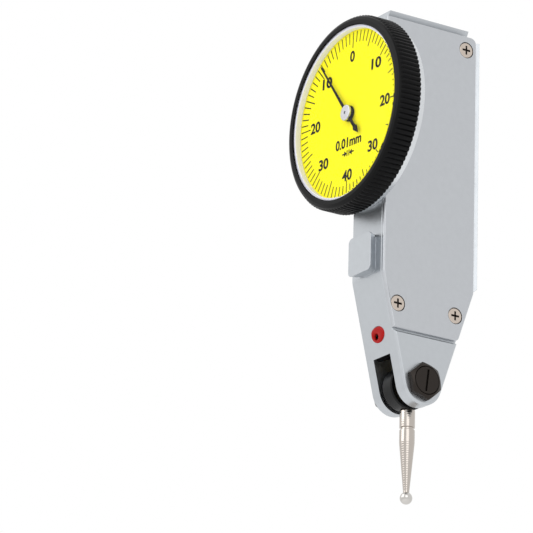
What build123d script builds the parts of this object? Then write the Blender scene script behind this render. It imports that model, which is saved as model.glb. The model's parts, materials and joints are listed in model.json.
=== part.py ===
from build123d import *
import os
from math import acos, atan2, cos, degrees, hypot, pi, radians, sin, sqrt, tan

# A lever-type dial test indicator. All sizes are in millimetres.
# Everything is drawn from the stylus pivot: X 0 is the middle plane of the case, Y 0 its flat
# front face with the dial towards -Y, and Z 0 the pivot axis. write() then moves each piece to
# the part's own frame, whose origin is the middle of the rear dovetail's outer face.

# Case
case_width = 9.0
case_depth = 17.5
case_top = 60.0
case_wall = 1.2
front_kink_z = 17.0
rear_kink_z = 16.5
kink_round = 1.5
edge_break = 0.3
inner_break = 0.18
ear_lap = 1.0
pivot_y = 7.9
fork_end_radius = 3.7
slot_width = 4.5
slot_middle_x = -0.1
slot_top = 4.3
ear_top = 7.6
passage_front = 4.6
passage_rear = 12.2
cavity_floor = 9.0
cavity_front_rise = 5.0
cavity_rear_rise = 5.5
cavity_step = 1.0
cavity_slope_rise = 3.5
cavity_round = 0.9
corner_boss = 2.7

# Side cover and its screws
cover_thickness = 0.65
cover_gap = 0.4
cover_corner = 1.0
cover_edge_break = 0.2
cover_screw_places = ((2.86, 12.0), (case_depth - 3.6, 12.1), (case_depth - 2.0, 57.6))
cover_head_radius = 1.28
cover_head_height = 0.36
cover_head_clearance = 0.08
cover_head_sunk = 0.02
cover_head_bevel = 0.1
cover_shank_radius = 0.6
cover_screw_length = 3.0
screw_tip_gap = 0.3
recess_length = 1.5
recess_width = 0.32
recess_depth = 0.22

# Dovetail rails
rail_width = 6.2
rail_height = 1.6
rail_angle = 60.0
front_rail_low = 17.2
front_rail_high = 23.6
front_rail_round = 0.8
rear_rail_low = 17.3
rear_rail_lead = 0.6
top_rail_front = 1.4
top_rail_rear_gap = 0.6

# Dial, bezel and crystal
dial_z = 43.5
bezel_radius = 16.0
bezel_front = 5.4
bezel_rear = 1.3
bezel_wall = 1.4
bezel_rim_slope = 0.65
bezel_ledge = 1.3
knurl_count = 120
knurl_depth = 0.28
knurl_front = 4.2
knurl_end_slope = 0.3
knurl_edge_bevel = 0.1
knurl_foot_share = 0.36
knurl_crest_share = 0.2
bezel_shoulder_drop = 0.75
bezel_shoulder_in = 0.12
bezel_rim_drop = 0.3
bezel_lip_bevel = 0.15
crystal_thickness = 0.4
crystal_inset = 0.05
crystal_play = 0.05
crystal_edge_bevel = 0.15
spacer_wall = 0.4
dial_front = 3.85
dial_thickness = 0.4
dial_hole_radius = 1.0
seat_edge_inset = 0.5
seat_thickness = 1.15
seat_boss_height = 1.2
seat_bevel = 0.2
seat_well_depth = 0.7
seat_rim_width = 1.6
seat_rim_slope = 0.4
running_clearance = 0.05
ring_section = 0.3
ring_reach = 0.3
ring_below_dial = 1.35
ring_gap_angle = 24.0
seat_screw_head_radius = 1.1
seat_screw_head_height = 0.6
seat_screw_shank_radius = 0.6
seat_screw_inset = 4.8
seat_screw_slot_width = 0.3
seat_screw_sunk = 0.05
seat_screw_short = 0.1

# Pointer
arbor_radius = 0.4
shaft_clearance = 0.03
hand_thickness = 0.15
hand_height = 4.5
hand_tip_gap = 1.35
hand_root_width = 0.55
hand_tip_width = 0.16
hand_tip_length = 0.4
hand_disc_radius = 0.98
hand_tail_reach = 5.2
hand_tail_width = 1.15
hand_tail_start = 3.35
hand_tail_slope = 0.55
hand_rest_angle = 37.0
hub_radius = 1.3
hub_height = 0.35
hub_bevel = 0.15
hub_cap = 0.1
hub_dimple_radius = 0.09
boss_gap = 0.1
arbor_past_lug = 0.75
hairspring_y = 1.45
hairspring_width = 0.3
hairspring_strip = 0.09
hairspring_turns = 4
hairspring_pitch = 0.42
stud_radius = 0.28
stud_seat = 0.7
collet_radius = 0.75
collet_height = 0.45
collet_lead = 0.07

# Gear train: sector, wheel pinion, crown wheel and pointer pinion
pressure_angle = 20.0
backlash = 0.04
sector_module = 0.25
sector_full_teeth = 240
sector_teeth = 9
sector_lead_teeth = 2
sector_thickness = 0.4
wheel_pinion_teeth = 16
crown_module = 0.18
crown_teeth = 52
pointer_pinion_teeth = 14
crown_face = 1.0
crown_disc_thickness = 0.45
crown_backlash = 0.1
pinion_face = 0.5
dedendum_share = 1.2
sector_addendum_share = 0.85
crown_dedendum_share = 1.25
crown_addendum_share = 0.75
tooth_lap = 0.05
crown_rim = 0.05
crown_hub_radius = 1.1
crown_hub_length = 0.35
crown_hole_count = 4
crown_hole_circle = 2.6
crown_hole_radius = 1.05
sector_arm_width = 1.6
sector_arm_rise = 1.6
sector_waist = 1.0
sector_waist_rise = 2.0
sector_edge = 0.2
sector_tail_width = 1.1
sector_rim_depth = 2.2
sector_hub_radius = 1.6
sector_collar_radius = 0.9
sector_collar_gap = 0.1
window_foot = 2.5
window_shift = 0.6
window_rim = 1.2
window_front_bar = 0.9
window_rear_bar = 1.6
window_lean = 0.3
window_round = 0.3
pinion_overhang = 0.1
arbor_end_play = 0.1
arbor_plate_sunk = 0.05
gear_arbor_radius = 0.45
bush_radius = 0.9
bush_stand = 0.2
wheel_end_play = 0.1
bush_end_cover = 0.3

# Drive lever, its pins and the friction joint with the stylus
lever_x = 0.85
lever_thickness = 0.55
lever_ratio = 2.5
lever_eye_radius = 2.2
lever_half_width = 1.15
lever_window_radius = 1.35
lever_window_wall = 0.95
lever_tip_radius = 1.0
lever_seat_radius = 1.0
side_gap = 0.2
drive_pin_radius = 0.4
drive_pin_gap = 0.02
journal_radius = 0.6
journal_length = 0.8
journal_end_play = 0.2
spindle_radius = 1.4
clutch_head_radius = 2.0
clutch_head_thickness = 0.4
clutch_recess_radius = 2.3
clutch_recess_depth = 0.95
clutch_washer_thickness = 0.14
clutch_washer_space = 0.4
washer_floor_gap = 0.02
washer_bore_gap = 0.06
washer_lip = 0.15

# Stylus
drum_left = -1.7
drum_right = 0.8
drum_radius = 3.6
drum_flat_z = -3.45
drum_edge = 0.2
stylus_length = 17.735
stylus_set_back = 0.5
stem_radius = 1.23
stem_groove_z = -6.05
stem_groove_width = 0.34
stem_groove_depth = 0.14
stem_groove_slope = 0.06
stem_shoulder = 0.12
stem_taper_z = -8.3
stem_neck_radius = 0.5
spigot_radius = 0.7
spigot_length = 1.05
ball_radius = 1.0

# Pivot screws
screw_corner_radius = 3.1
screw_head_thickness = 1.15
screw_face_radius = 2.25
screw_chamfer_depth = 0.45
screw_slot_width = 0.5
screw_slot_depth = 0.45
screw_slot_lean = 8.0
screw_hex_lean = -6.0
screw_shank_radius = 1.8
screw_tip_stand = 0.25

# Sealed setting screw on the sloping front
seal_z = 7.8
seal_half_width = 1.75
seal_half_height = 1.3
seal_depth = 0.3
seal_below = 0.04
seal_hole_radius = 0.45
seal_hole_x = -0.53
seal_hole_down = 0.27
setting_screw_radius = 0.6
setting_screw_below = 0.5
setting_screw_length = 1.5
setting_socket_radius = 0.35
setting_socket_depth = 0.5

# Movement plate inside the case
plate_thickness = 0.8
plate_gap = 0.45
plate_foot_radius = 1.1
plate_screw_radius = 0.5
plate_screw_head_radius = 0.95
plate_screw_head_height = 0.4
plate_screw_length = 3.0
plate_slot_width = 0.24
plate_slot_depth = 0.2
plate_feet = ((case_depth - 3.6, 23.5), (2.5, 26.0), (7.5, 53.5))
plate_half_width = 1.5
plate_arm_half_width = 1.15
lug_before_pivot = 3.5
lug_thickness = 0.8
lug_half_height = 1.1
lug_reach = 0.85
pointer_bush_radius = 0.75
stop_pin_radius = 0.4
stop_pin_height = 15.0

# Joined shapes run this far into each other, cutting shapes this far past what they cut, and
# corners count as the same within this distance
lap = 0.2
overrun = 1.0
match_distance = 0.01

# Places worked out from the sizes above
half_width = case_width / 2
cover_seat_x = half_width - cover_thickness
cover_bottom = ear_top + cover_gap
inner_left_x = case_wall - half_width
slot_left_x = slot_middle_x - slot_width / 2
slot_right_x = slot_middle_x + slot_width / 2
lever_right_x = lever_x + lever_thickness
sector_x = lever_right_x + side_gap
sector_right_x = sector_x + sector_thickness
plate_x = sector_right_x + plate_gap
plate_right_x = plate_x + plate_thickness
stylus_x = (drum_left + drum_right) / 2
stylus_y = pivot_y + stylus_set_back
wheel_z = dial_z
sector_radius = sector_module * sector_full_teeth / 2
sector_pitch_angle = 360 / sector_full_teeth
sector_first_angle = -sector_lead_teeth * sector_pitch_angle
sector_last_angle = sector_first_angle + sector_teeth * sector_pitch_angle
wheel_pinion_radius = sector_module * wheel_pinion_teeth / 2
sector_z = wheel_z - sector_radius - wheel_pinion_radius
lower_pin_drop = sector_z / (lever_ratio + 1)
upper_pin_rise = sector_z / (lever_ratio - 1)
crown_radius = crown_module * crown_teeth / 2
pointer_pinion_radius = crown_module * pointer_pinion_teeth / 2
crown_addendum = crown_addendum_share * crown_module
crown_dedendum = crown_dedendum_share * crown_module
crown_root_x = -pointer_pinion_radius - crown_dedendum
crown_hub_left_x = crown_root_x - crown_disc_thickness - crown_hub_length
sector_arm_top = upper_pin_rise + sector_arm_rise
sector_inner_radius = sector_radius - sector_rim_depth
pinion_y = pivot_y - crown_radius
lug_front_y = pivot_y - lug_before_pivot
arbor_end_y = lug_front_y + arbor_past_lug
bezel_opening = bezel_radius - bezel_wall
bezel_rim_radius = bezel_radius - bezel_rim_slope
bezel_ledge_bore = bezel_opening - bezel_ledge
seat_radius = bezel_radius - seat_edge_inset
boss_bore = bezel_ledge_bore - running_clearance
crystal_front = bezel_front - crystal_inset
crystal_rear = crystal_front - crystal_thickness
spacer_outer = bezel_opening - crystal_play
hand_reach = spacer_outer - spacer_wall - hand_tip_gap
seat_screw_circle = boss_bore - seat_screw_inset
ring_y = dial_front - dial_thickness - ring_below_dial
boss_front = seat_thickness + seat_boss_height
seat_screw_face = boss_front - seat_well_depth - seat_screw_sunk
seat_screw_under = seat_screw_face - seat_screw_head_height
knurl_root = bezel_radius - knurl_depth
arbor_left_x = bush_end_cover - half_width + arbor_end_play
arbor_right_x = plate_right_x - arbor_plate_sunk

# Where each piece goes in the part's own frame
rear_rail_middle = (rear_rail_low + case_top) / 2
to_part_frame = Pos(0, -case_depth - rail_height, -rear_rail_middle)


def write(name, piece):
    """Moves a piece to the part's frame and writes it to its own file."""
    solids = [to_part_frame * s for s in piece.solids()]
    placed = solids[0] if len(solids) == 1 else Compound(children=solids)
    export_step(placed, f"parts/{name}.step")


def along_x(radius, start, end, y=pivot_y, z=0.0):
    """A round bar between two places on X."""
    bar = Cylinder(radius, end - start, align=(Align.CENTER, Align.CENTER, Align.MIN))
    return Pos(start, y, z) * Rot(0, 90, 0) * bar


def along_y(radius, start, end, x=0.0, z=dial_z):
    """A round bar between two places on Y."""
    bar = Cylinder(radius, end - start, align=(Align.CENTER, Align.CENTER, Align.MIN))
    return Pos(x, start, z) * Rot(-90, 0, 0) * bar


def turned_about_dial(*points):
    """A ring or disc turned about the dial's axis from (radius, y) points."""
    return Pos(0, 0, dial_z) * revolve(make_face(Polyline(*points, close=True)), Axis.Y)


def slab_yz(face, start, end):
    """A flat face drawn as (y, z), made into a plate between two places on X."""
    return Pos(start, 0, 0) * extrude(Plane.YZ * face, end - start)


def block(x0, x1, y0, y1, z0, z1):
    """A square-edged block between its corners, used for cuts and lugs."""
    middle = Pos((x0 + x1) / 2, (y0 + y1) / 2, (z0 + z1) / 2)
    return middle * Box(x1 - x0, y1 - y0, z1 - z0)


def tangent_point(y, z, side):
    """Where a line from (y, z) touches the round end of the fork."""
    away_y = y - pivot_y
    angle = atan2(z, away_y) + side * acos(fork_end_radius / hypot(away_y, z))
    return pivot_y + fork_end_radius * cos(angle), fork_end_radius * sin(angle)


front_tangent = tangent_point(0, front_kink_z, 1)
rear_tangent = tangent_point(case_depth, rear_kink_z, -1)


def case_outline():
    """The case seen from the side, as a face in (y, z)."""
    rim = (
        Line((0, case_top), (0, front_kink_z))
        + Line((0, front_kink_z), front_tangent)
        + ThreePointArc(front_tangent, (pivot_y, -fork_end_radius), rear_tangent)
        + Line(rear_tangent, (case_depth, rear_kink_z))
        + Line((case_depth, rear_kink_z), (case_depth, case_top))
        + Line((case_depth, case_top), (0, case_top))
    )
    face = make_face(rim)
    kinks = [
        v for v in face.vertices()
        if min(abs(v.Y - front_kink_z), abs(v.Y - rear_kink_z)) < match_distance
    ]
    return fillet(kinks, kink_round)


def band(face, low, high):
    """The part of a (y, z) face between two heights."""
    middle = Pos(case_depth / 2, (low + high) / 2)
    return face & middle * Rectangle(3 * case_depth, high - low)


def rail(length):
    """A dovetail rail along local Z, standing on local Y 0 with its wide face at the top."""
    root = rail_width / 2 - rail_height / tan(radians(rail_angle))
    top = rail_width / 2
    face = make_face(Polyline((-root, 0), (-top, rail_height), (top, rail_height), (root, 0), close=True))
    return extrude(face, length)


def slope_plane(z):
    """A plane on the sloping front of the fork at height z, facing outwards."""
    run = (front_tangent[0], front_tangent[1] - front_kink_z)
    length = hypot(*run)
    y = run[0] * (z - front_kink_z) / run[1]
    return Plane(origin=(0, y, z), x_dir=(1, 0, 0), z_dir=(0, run[1] / length, -run[0] / length))


def cavity_face():
    """The hollow of the case for the movement, as a face in (y, z)."""
    front, rear = case_wall, case_depth - case_wall
    shoulder_front = cavity_floor + cavity_front_rise
    shoulder_rear = cavity_floor + cavity_rear_rise
    top = case_top - case_wall
    points = (
        (passage_front, cavity_floor),
        (passage_front, shoulder_front - cavity_step),
        (front, shoulder_front + cavity_slope_rise),
        (front, top),
        (rear - corner_boss, top),
        (rear - corner_boss, top - corner_boss),
        (rear, top - corner_boss),
        (rear, shoulder_rear + cavity_slope_rise),
        (passage_rear, shoulder_rear),
        (passage_rear, cavity_floor),
    )
    face = make_face(Polyline(*points, close=True))
    return fillet(face.vertices(), cavity_round)


def seat_screw_spots():
    """The two screws that hold the dial seat, above and below the arbor."""
    return [(0.0, dial_z + side * seat_screw_circle) for side in (-1, 1)]


def make_case():
    """The casting: fork, hollow, three dovetail rails and the seats for all that it carries."""
    outline = case_outline()
    body = slab_yz(outline, -half_width, cover_seat_x)
    body = chamfer(body.faces().sort_by(Axis.X)[0].edges(), edge_break)
    body = chamfer(body.faces().sort_by(Axis.X)[-1].edges(), inner_break)
    ear = slab_yz(band(outline, -2 * fork_end_radius, ear_top), cover_seat_x - ear_lap, half_width)
    ear = chamfer(ear.faces().sort_by(Axis.X)[-1].edges(), edge_break)
    body += ear
    body -= slab_yz(cavity_face(), inner_left_x, half_width)
    low, high = slot_top - overrun, cavity_floor + overrun
    body -= block(slot_left_x, slot_right_x, passage_front, passage_rear, low, high)
    low, rear = -2 * fork_end_radius, case_depth + overrun
    body -= block(slot_left_x, slot_right_x, -overrun, rear, low, slot_top)

    front_rail = Pos(0, 0, front_rail_low) * Rot(0, 0, 180) * rail(front_rail_high - front_rail_low)
    front_rail = fillet(outer_corners(front_rail, Axis.Y, first=True), front_rail_round)
    rear_rail = Pos(0, case_depth, rear_rail_low) * rail(case_top - rear_rail_low)
    lead_edge = rear_rail.faces().sort_by(Axis.Y)[-1].edges().sort_by(Axis.Z)[0]
    rear_rail = chamfer(lead_edge, rear_rail_lead)
    top_length = case_depth - top_rail_rear_gap - top_rail_front
    top_rail = Pos(0, top_rail_front + top_length, case_top) * Rot(90, 0, 0) * rail(top_length)
    body += [front_rail, rear_rail, top_rail]

    for y, z in cover_screw_places:
        body -= along_x(cover_shank_radius, cover_seat_x - cover_screw_length, half_width, y, z)
    for y, z in plate_feet:
        body += along_x(plate_foot_radius, inner_left_x - lap, plate_x, y, z)
        body -= along_x(plate_screw_radius, plate_right_x - plate_screw_length, plate_right_x, y, z)
    for z in (sector_z, wheel_z):
        body -= along_x(bush_radius, bush_end_cover - half_width, inner_left_x, pivot_y, z)
    for side in (-1, 1):
        ends = sorted((0.0, side * (half_width + overrun)))
        body -= along_x(screw_shank_radius, *ends)
    body -= along_y(bush_radius, -overrun, case_wall + overrun)
    for x, z in seat_screw_spots():
        body -= along_y(seat_screw_shank_radius, -overrun, case_wall + overrun, x, z)
    stud_hole = case_wall - stud_seat, case_wall + overrun
    body -= along_y(stud_radius, *stud_hole, *spring_stud_spot())
    slope = slope_plane(seal_z)
    body -= extrude(slope * Ellipse(seal_half_width, seal_half_height), -seal_depth)
    screw_spot = slope * Pos(seal_hole_x, -seal_hole_down, 0)
    depth = setting_screw_below + setting_screw_length
    body -= extrude(screw_spot * Circle(setting_screw_radius), -depth)
    return body


def outer_corners(piece, axis, first):
    """The short corner edges of a rail's outer face that run along the face's normal side."""
    face = piece.faces().sort_by(axis)[0 if first else -1]
    corners = face.vertices()
    slanted = [e for e in piece.edges() if is_slanted(e)]
    return [e for e in slanted if touches_any(e, corners)]


def is_slanted(edge):
    """Whether an edge lies level and leans on Y."""
    run = edge.tangent_at(0)
    return abs(run.Z) < match_distance < abs(run.Y)


def touches_any(edge, corners):
    """Whether either end of an edge is one of the corners."""
    ends = (edge @ 0, edge @ 1)
    return any((end - Vector(*corner)).length < match_distance for end in ends for corner in corners)


def make_cover():
    """The side cover, set down on the casting's rim and following its outline."""
    face = band(case_outline(), cover_bottom, case_top)
    corners = face.vertices().sort_by(Axis.Y)
    low_rear = corners[:2].sort_by(Axis.X)[-1]
    high_rear = corners[-2:].sort_by(Axis.X)[-1]
    face = fillet([low_rear, high_rear], cover_corner)
    plate = slab_yz(face, cover_seat_x, half_width)
    plate = chamfer(plate.faces().sort_by(Axis.X)[-1].edges(), cover_edge_break)
    for y, z in cover_screw_places:
        plate -= along_x(cover_shank_radius + cover_head_clearance, cover_seat_x, half_width, y, z)
        recess = cover_head_radius + cover_head_clearance
        plate -= along_x(recess, half_width - cover_head_sunk - cover_head_height, half_width, y, z)
    return plate


def cross_recess(x):
    """The crossed recess in a screw head whose face is at x, as a tool to cut it."""
    bar = Box(recess_depth, recess_length, recess_width)
    return Pos(x - recess_depth / 2, 0, 0) * (bar + Rot(90, 0, 0) * bar)


def make_cover_screws():
    """The three screws of the side cover, as separate solids."""
    face_x = half_width - cover_head_sunk
    under_x = face_x - cover_head_height
    end_x = cover_seat_x - cover_screw_length + screw_tip_gap
    screw = along_x(cover_head_radius, under_x, face_x, 0) + along_x(cover_shank_radius, end_x, under_x, 0)
    screw = chamfer(screw.faces().sort_by(Axis.X)[-1].edges(), cover_head_bevel) - cross_recess(face_x)
    return Compound(children=[Pos(0, y, z) * screw for y, z in cover_screw_places])


def knurled_outline():
    """One flat face with the knurl's rounded ridges round its edge, in (x, z)."""
    pitch = 360 / knurl_count
    ridge = (
        (-knurl_foot_share, knurl_root),
        (-knurl_crest_share, bezel_radius),
        (knurl_crest_share, bezel_radius),
        (knurl_foot_share, knurl_root),
    )
    points = []
    for i in range(knurl_count):
        for share, radius in ridge:
            angle = radians((i + share) * pitch)
            points.append((radius * sin(angle), radius * cos(angle)))
    return make_face(Polyline(*points, close=True))


def make_bezel():
    """The bezel: a knurled ring that holds crystal, spacer and dial, and turns on the seat."""
    groove_front = ring_y + running_clearance
    groove_rear = ring_y - ring_section - running_clearance
    groove_bore = boss_bore + ring_reach + 2 * running_clearance
    ledge = dial_front - dial_thickness
    ring = turned_about_dial(
        (bezel_ledge_bore, -bezel_rear),
        (knurl_root, -bezel_rear),
        (knurl_root, -bezel_front + bezel_shoulder_drop),
        (knurl_root - bezel_shoulder_in, -bezel_front + bezel_rim_drop),
        (bezel_rim_radius, -bezel_front),
        (bezel_opening + bezel_lip_bevel, -bezel_front),
        (bezel_opening, -bezel_front + bezel_lip_bevel),
        (bezel_opening, -ledge),
        (bezel_ledge_bore, -ledge),
        (bezel_ledge_bore, -groove_front),
        (groove_bore, -groove_front),
        (groove_bore, -groove_rear),
        (bezel_ledge_bore, -groove_rear),
    )
    ridge_front = knurl_front + knurl_end_slope
    middle = Pos(0, -bezel_rear, dial_z)
    ridges = middle * Rot(90, 0, 0) * extrude(knurled_outline(), ridge_front - bezel_rear)
    inner, outer = knurl_root - lap, bezel_radius + match_distance
    limit = turned_about_dial(
        (inner, -bezel_rear),
        (outer - knurl_edge_bevel, -bezel_rear),
        (outer, -bezel_rear - knurl_edge_bevel),
        (outer, -knurl_front),
        (knurl_root - match_distance, -ridge_front),
        (inner, -ridge_front),
    )
    return ring + (ridges & limit)


def make_snap_ring():
    """The open spring ring that keeps the bezel on its seat."""
    inner = boss_bore - ring_reach
    outer = boss_bore + ring_reach
    top, low = -ring_y, ring_section - ring_y
    ring = turned_about_dial((inner, top), (outer, top), (outer, low), (inner, low))
    half = radians(ring_gap_angle / 2)
    reach = 2 * outer
    gap = make_face(Polyline((0, 0), (reach * sin(half), -reach), (-reach * sin(half), -reach), close=True))
    return ring - Pos(0, overrun, dial_z) * Rot(90, 0, 0) * extrude(gap, 2 * bezel_front)


def make_seat():
    """The round dial seat on the case's front, with the boss that the bezel turns on."""
    groove = boss_bore - ring_reach - running_clearance
    groove_front = ring_y + running_clearance
    groove_rear = ring_y - ring_section - running_clearance
    well_radius = boss_bore - seat_rim_width
    well_floor = boss_front - seat_well_depth
    seat = turned_about_dial(
        (0, 0),
        (seat_radius, 0),
        (seat_radius, -seat_thickness),
        (boss_bore, -seat_thickness),
        (boss_bore, -groove_rear),
        (groove, -groove_rear),
        (groove, -groove_front),
        (boss_bore, -groove_front),
        (boss_bore, -boss_front),
        (well_radius, -boss_front),
        (well_radius - seat_rim_slope, -well_floor),
        (0, -well_floor),
    )
    seat = chamfer(seat.edges().sort_by(Axis.Y)[-1], seat_bevel)
    seat -= along_y(bush_radius, -boss_front - overrun, overrun)
    for x, z in seat_screw_spots():
        seat -= along_y(seat_screw_shank_radius, -boss_front - overrun, overrun, x, z)
        seat -= along_y(seat_screw_head_radius, -boss_front - overrun, -seat_screw_under, x, z)
    return seat


def make_seat_screws():
    """The screws that fasten the dial seat to the case, hidden behind the dial."""
    screws = []
    half_slot = seat_screw_slot_width / 2
    slot_floor = (seat_screw_face + seat_screw_under) / 2
    for x, z in seat_screw_spots():
        left, right = x - seat_screw_head_radius, x + seat_screw_head_radius
        head = along_y(seat_screw_head_radius, -seat_screw_face, -seat_screw_under, x, z)
        head -= block(left, right, -seat_screw_face, -slot_floor, z - half_slot, z + half_slot)
        shank = along_y(seat_screw_shank_radius, -seat_screw_under, case_wall - seat_screw_short, x, z)
        screws.append(head + shank)
    return Compound(children=screws)


def make_crystal():
    """The clear flat crystal with a bevelled edge."""
    return turned_about_dial(
        (0, -crystal_rear),
        (spacer_outer, -crystal_rear),
        (spacer_outer, -crystal_front + crystal_edge_bevel),
        (spacer_outer - crystal_edge_bevel, -crystal_front),
        (0, -crystal_front),
    )


def make_spacer():
    """The bright ring between crystal and dial."""
    inner = spacer_outer - spacer_wall
    return turned_about_dial(
        (inner, -dial_front),
        (spacer_outer, -dial_front),
        (spacer_outer, -crystal_rear),
        (inner, -crystal_rear),
    )


def make_dial():
    """The dial plate on the bezel's ledge."""
    disc = along_y(spacer_outer, -dial_front, dial_thickness - dial_front)
    return disc - along_y(dial_hole_radius, -bezel_front, 0)


def involute(angle):
    """The involute function of a pressure angle in radians."""
    return tan(angle) - angle


def tooth_half_angle(radius, pitch_radius, teeth, thinning):
    """Half of a tooth's angle at a radius, in radians, for an involute flank."""
    base = pitch_radius * cos(radians(pressure_angle))
    at_pitch = pi / (2 * teeth) - thinning / (2 * pitch_radius)
    here = acos(min(1.0, base / max(radius, base)))
    return at_pitch + involute(radians(pressure_angle)) - involute(here)


def gear_points(teeth, module, addendum, dedendum, first, count, thinning=backlash):
    """Edge points of toothed gears in turn, with tooth middles from angle first, in degrees."""
    pitch_radius = module * teeth / 2
    base = pitch_radius * cos(radians(pressure_angle))
    root, tip = pitch_radius - dedendum, pitch_radius + addendum
    start = max(root, base)
    radii = [start + (tip - start) * i / 3 for i in range(4)]
    if root < base:
        radii.insert(0, root)
    points = []
    for i in range(count):
        middle = radians(first + i * 360 / teeth)
        halves = [(r, tooth_half_angle(r, pitch_radius, teeth, thinning)) for r in radii]
        points += [(r * sin(middle - h), r * cos(middle - h)) for r, h in halves]
        points += [(r * sin(middle + h), r * cos(middle + h)) for r, h in reversed(halves)]
    return points


def pinion(teeth, module, first):
    """The face of a small pinion, with full teeth all round."""
    points = gear_points(teeth, module, module, dedendum_share * module, first, teeth)
    return make_face(Polyline(*points, close=True))


def hairspring_half_turns():
    """Each half turn's centre x, radius and side, from the collet outwards."""
    step = hairspring_pitch / 2
    first = collet_radius + hairspring_strip / 2
    return [
        (-step / 2 if i % 2 else 0.0, first + i * step / 2, -1 if i % 2 else 1)
        for i in range(2 * hairspring_turns)
    ]


def spring_stud_spot():
    """Where the stud stands, as (x, z): against the end of the last half turn."""
    centre, radius, side = hairspring_half_turns()[-1]
    return centre + side * radius, dial_z + stud_radius


def make_hairspring():
    """A flat spiral of half rings whose centres alternate, so that each joins the next."""
    half = hairspring_strip / 2
    face = Sketch()
    for centre, radius, side in hairspring_half_turns():
        ring = Circle(radius + half) - Circle(radius - half)
        ring &= Pos(0, side * radius) * Rectangle(4 * radius, 2 * radius)
        face += Pos(centre, 0) * ring
    spring = Rot(90, 0, 0) * extrude(face, hairspring_width)
    return Pos(0, hairspring_y + hairspring_width, dial_z) * spring


def make_pointer_arbor():
    """The pointer arbor with its pinion cut in one piece."""
    arbor = along_y(arbor_radius, -hand_height - hub_height + hub_cap, arbor_end_y)
    face = pinion(pointer_pinion_teeth, crown_module, 90 + 180 / pointer_pinion_teeth)
    toothed = Pos(0, pinion_y + pinion_face / 2, dial_z) * Rot(90, 0, 0) * extrude(face, pinion_face)
    return arbor + toothed


def make_hand():
    """The pointer hand: a tapered blade with a spear-shaped tail."""
    blade = make_face(Polyline(
        (-hand_root_width / 2, 0),
        (-hand_tip_width / 2, hand_reach - hand_tip_length),
        (0, hand_reach),
        (hand_tip_width / 2, hand_reach - hand_tip_length),
        (hand_root_width / 2, 0),
        close=True,
    ))
    tail_half = hand_tail_width / 2
    wide_at = hand_tail_start + hand_tail_slope
    tail = make_face(Polyline(
        (-hand_root_width / 2, 0),
        (hand_root_width / 2, 0),
        (hand_root_width / 2, -hand_tail_start),
        (tail_half, -wide_at),
        (0, -hand_tail_reach),
        (-tail_half, -wide_at),
        (-hand_root_width / 2, -hand_tail_start),
        close=True,
    ))
    face = blade + tail + Circle(hand_disc_radius) - Circle(arbor_radius)
    plate = Rot(90, 0, 0) * extrude(face, hand_thickness)
    return Pos(0, hand_thickness - hand_height, dial_z) * Rot(0, -hand_rest_angle, 0) * plate


def make_hub():
    """The bright cap on the end of the pointer arbor, with a centre dimple."""
    cap = along_y(hub_radius, -hand_height - hub_height, -hand_height)
    cap = chamfer(cap.edges().sort_by(Axis.Y)[0], hub_bevel)
    cap -= along_y(arbor_radius, -hand_height - hub_height + hub_cap, 0)
    return cap - Pos(0, -hand_height - hub_height, dial_z) * Sphere(hub_dimple_radius)


def make_hand_boss():
    """The dark boss under the hand."""
    top = hand_thickness - hand_height
    boss = along_y(hub_radius, top, -dial_front - boss_gap)
    return boss - along_y(arbor_radius, -bezel_front, 0)


def make_collet():
    """The collet that holds the hairspring's inner end on the arbor."""
    start = hairspring_y - collet_lead
    ring = along_y(collet_radius, start, start + collet_height)
    return ring - along_y(arbor_radius, 0, arbor_end_y)


def make_spring_stud():
    """The stud on the front wall that holds the hairspring's outer end."""
    ends = case_wall - stud_seat, hairspring_y + hairspring_width
    return along_y(stud_radius, *ends, *spring_stud_spot())


def make_crown_wheel():
    """The crown wheel, with teeth that stand out of its face towards the pointer arbor."""
    disc_left = crown_root_x - crown_disc_thickness
    disc_radius = crown_radius + crown_face / 2 + crown_rim
    wheel = along_x(disc_radius, disc_left, crown_root_x, z=wheel_z)
    wheel += along_x(crown_hub_radius, crown_hub_left_x, disc_left + lap, z=wheel_z)
    for i in range(crown_hole_count):
        angle = 2 * pi * (i + 0.5) / crown_hole_count
        spot = pivot_y + crown_hole_circle * cos(angle), wheel_z + crown_hole_circle * sin(angle)
        wheel -= along_x(crown_hole_radius, disc_left - overrun, crown_root_x + overrun, *spot)
    wheel -= along_x(gear_arbor_radius, crown_hub_left_x - overrun, crown_root_x + overrun, z=wheel_z)
    tooth = crown_tooth()
    middle = Pos(crown_root_x, pivot_y, wheel_z)
    return wheel + [middle * Rot(i * 360 / crown_teeth, 0, 0) * tooth for i in range(crown_teeth)]


def crown_tooth():
    """One crown tooth on the wheel's -Y side, rising from X 0."""
    half_pitch = pi * crown_module / 4 - crown_backlash / 2
    slant = tan(radians(pressure_angle))
    root_half = half_pitch + crown_dedendum * slant
    tip_half = half_pitch - crown_addendum * slant
    height = crown_dedendum + crown_addendum
    section = make_face(Polyline(
        (-tooth_lap, -root_half),
        (0, -root_half),
        (height, -tip_half),
        (height, tip_half),
        (0, root_half),
        (-tooth_lap, root_half),
        close=True,
    ))
    return Pos(0, crown_face / 2 - crown_radius, 0) * Rot(90, 0, 0) * extrude(section, crown_face)


def make_wheel_arbor():
    """The arbor of the crown wheel, with the pinion that the sector drives."""
    arbor = along_x(gear_arbor_radius, arbor_left_x, arbor_right_x, z=wheel_z)
    face = Pos(pivot_y, wheel_z) * pinion(wheel_pinion_teeth, sector_module, 180)
    return arbor + slab_yz(face, sector_x - pinion_overhang, sector_right_x + pinion_overhang)


def sector_rim_edge(radius, angle, side):
    """A corner of the sector's rim, set out past the end of its teeth, in (y, z)."""
    angle = radians(angle)
    return radius * sin(angle) + side * sector_edge, radius * cos(angle)


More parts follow.
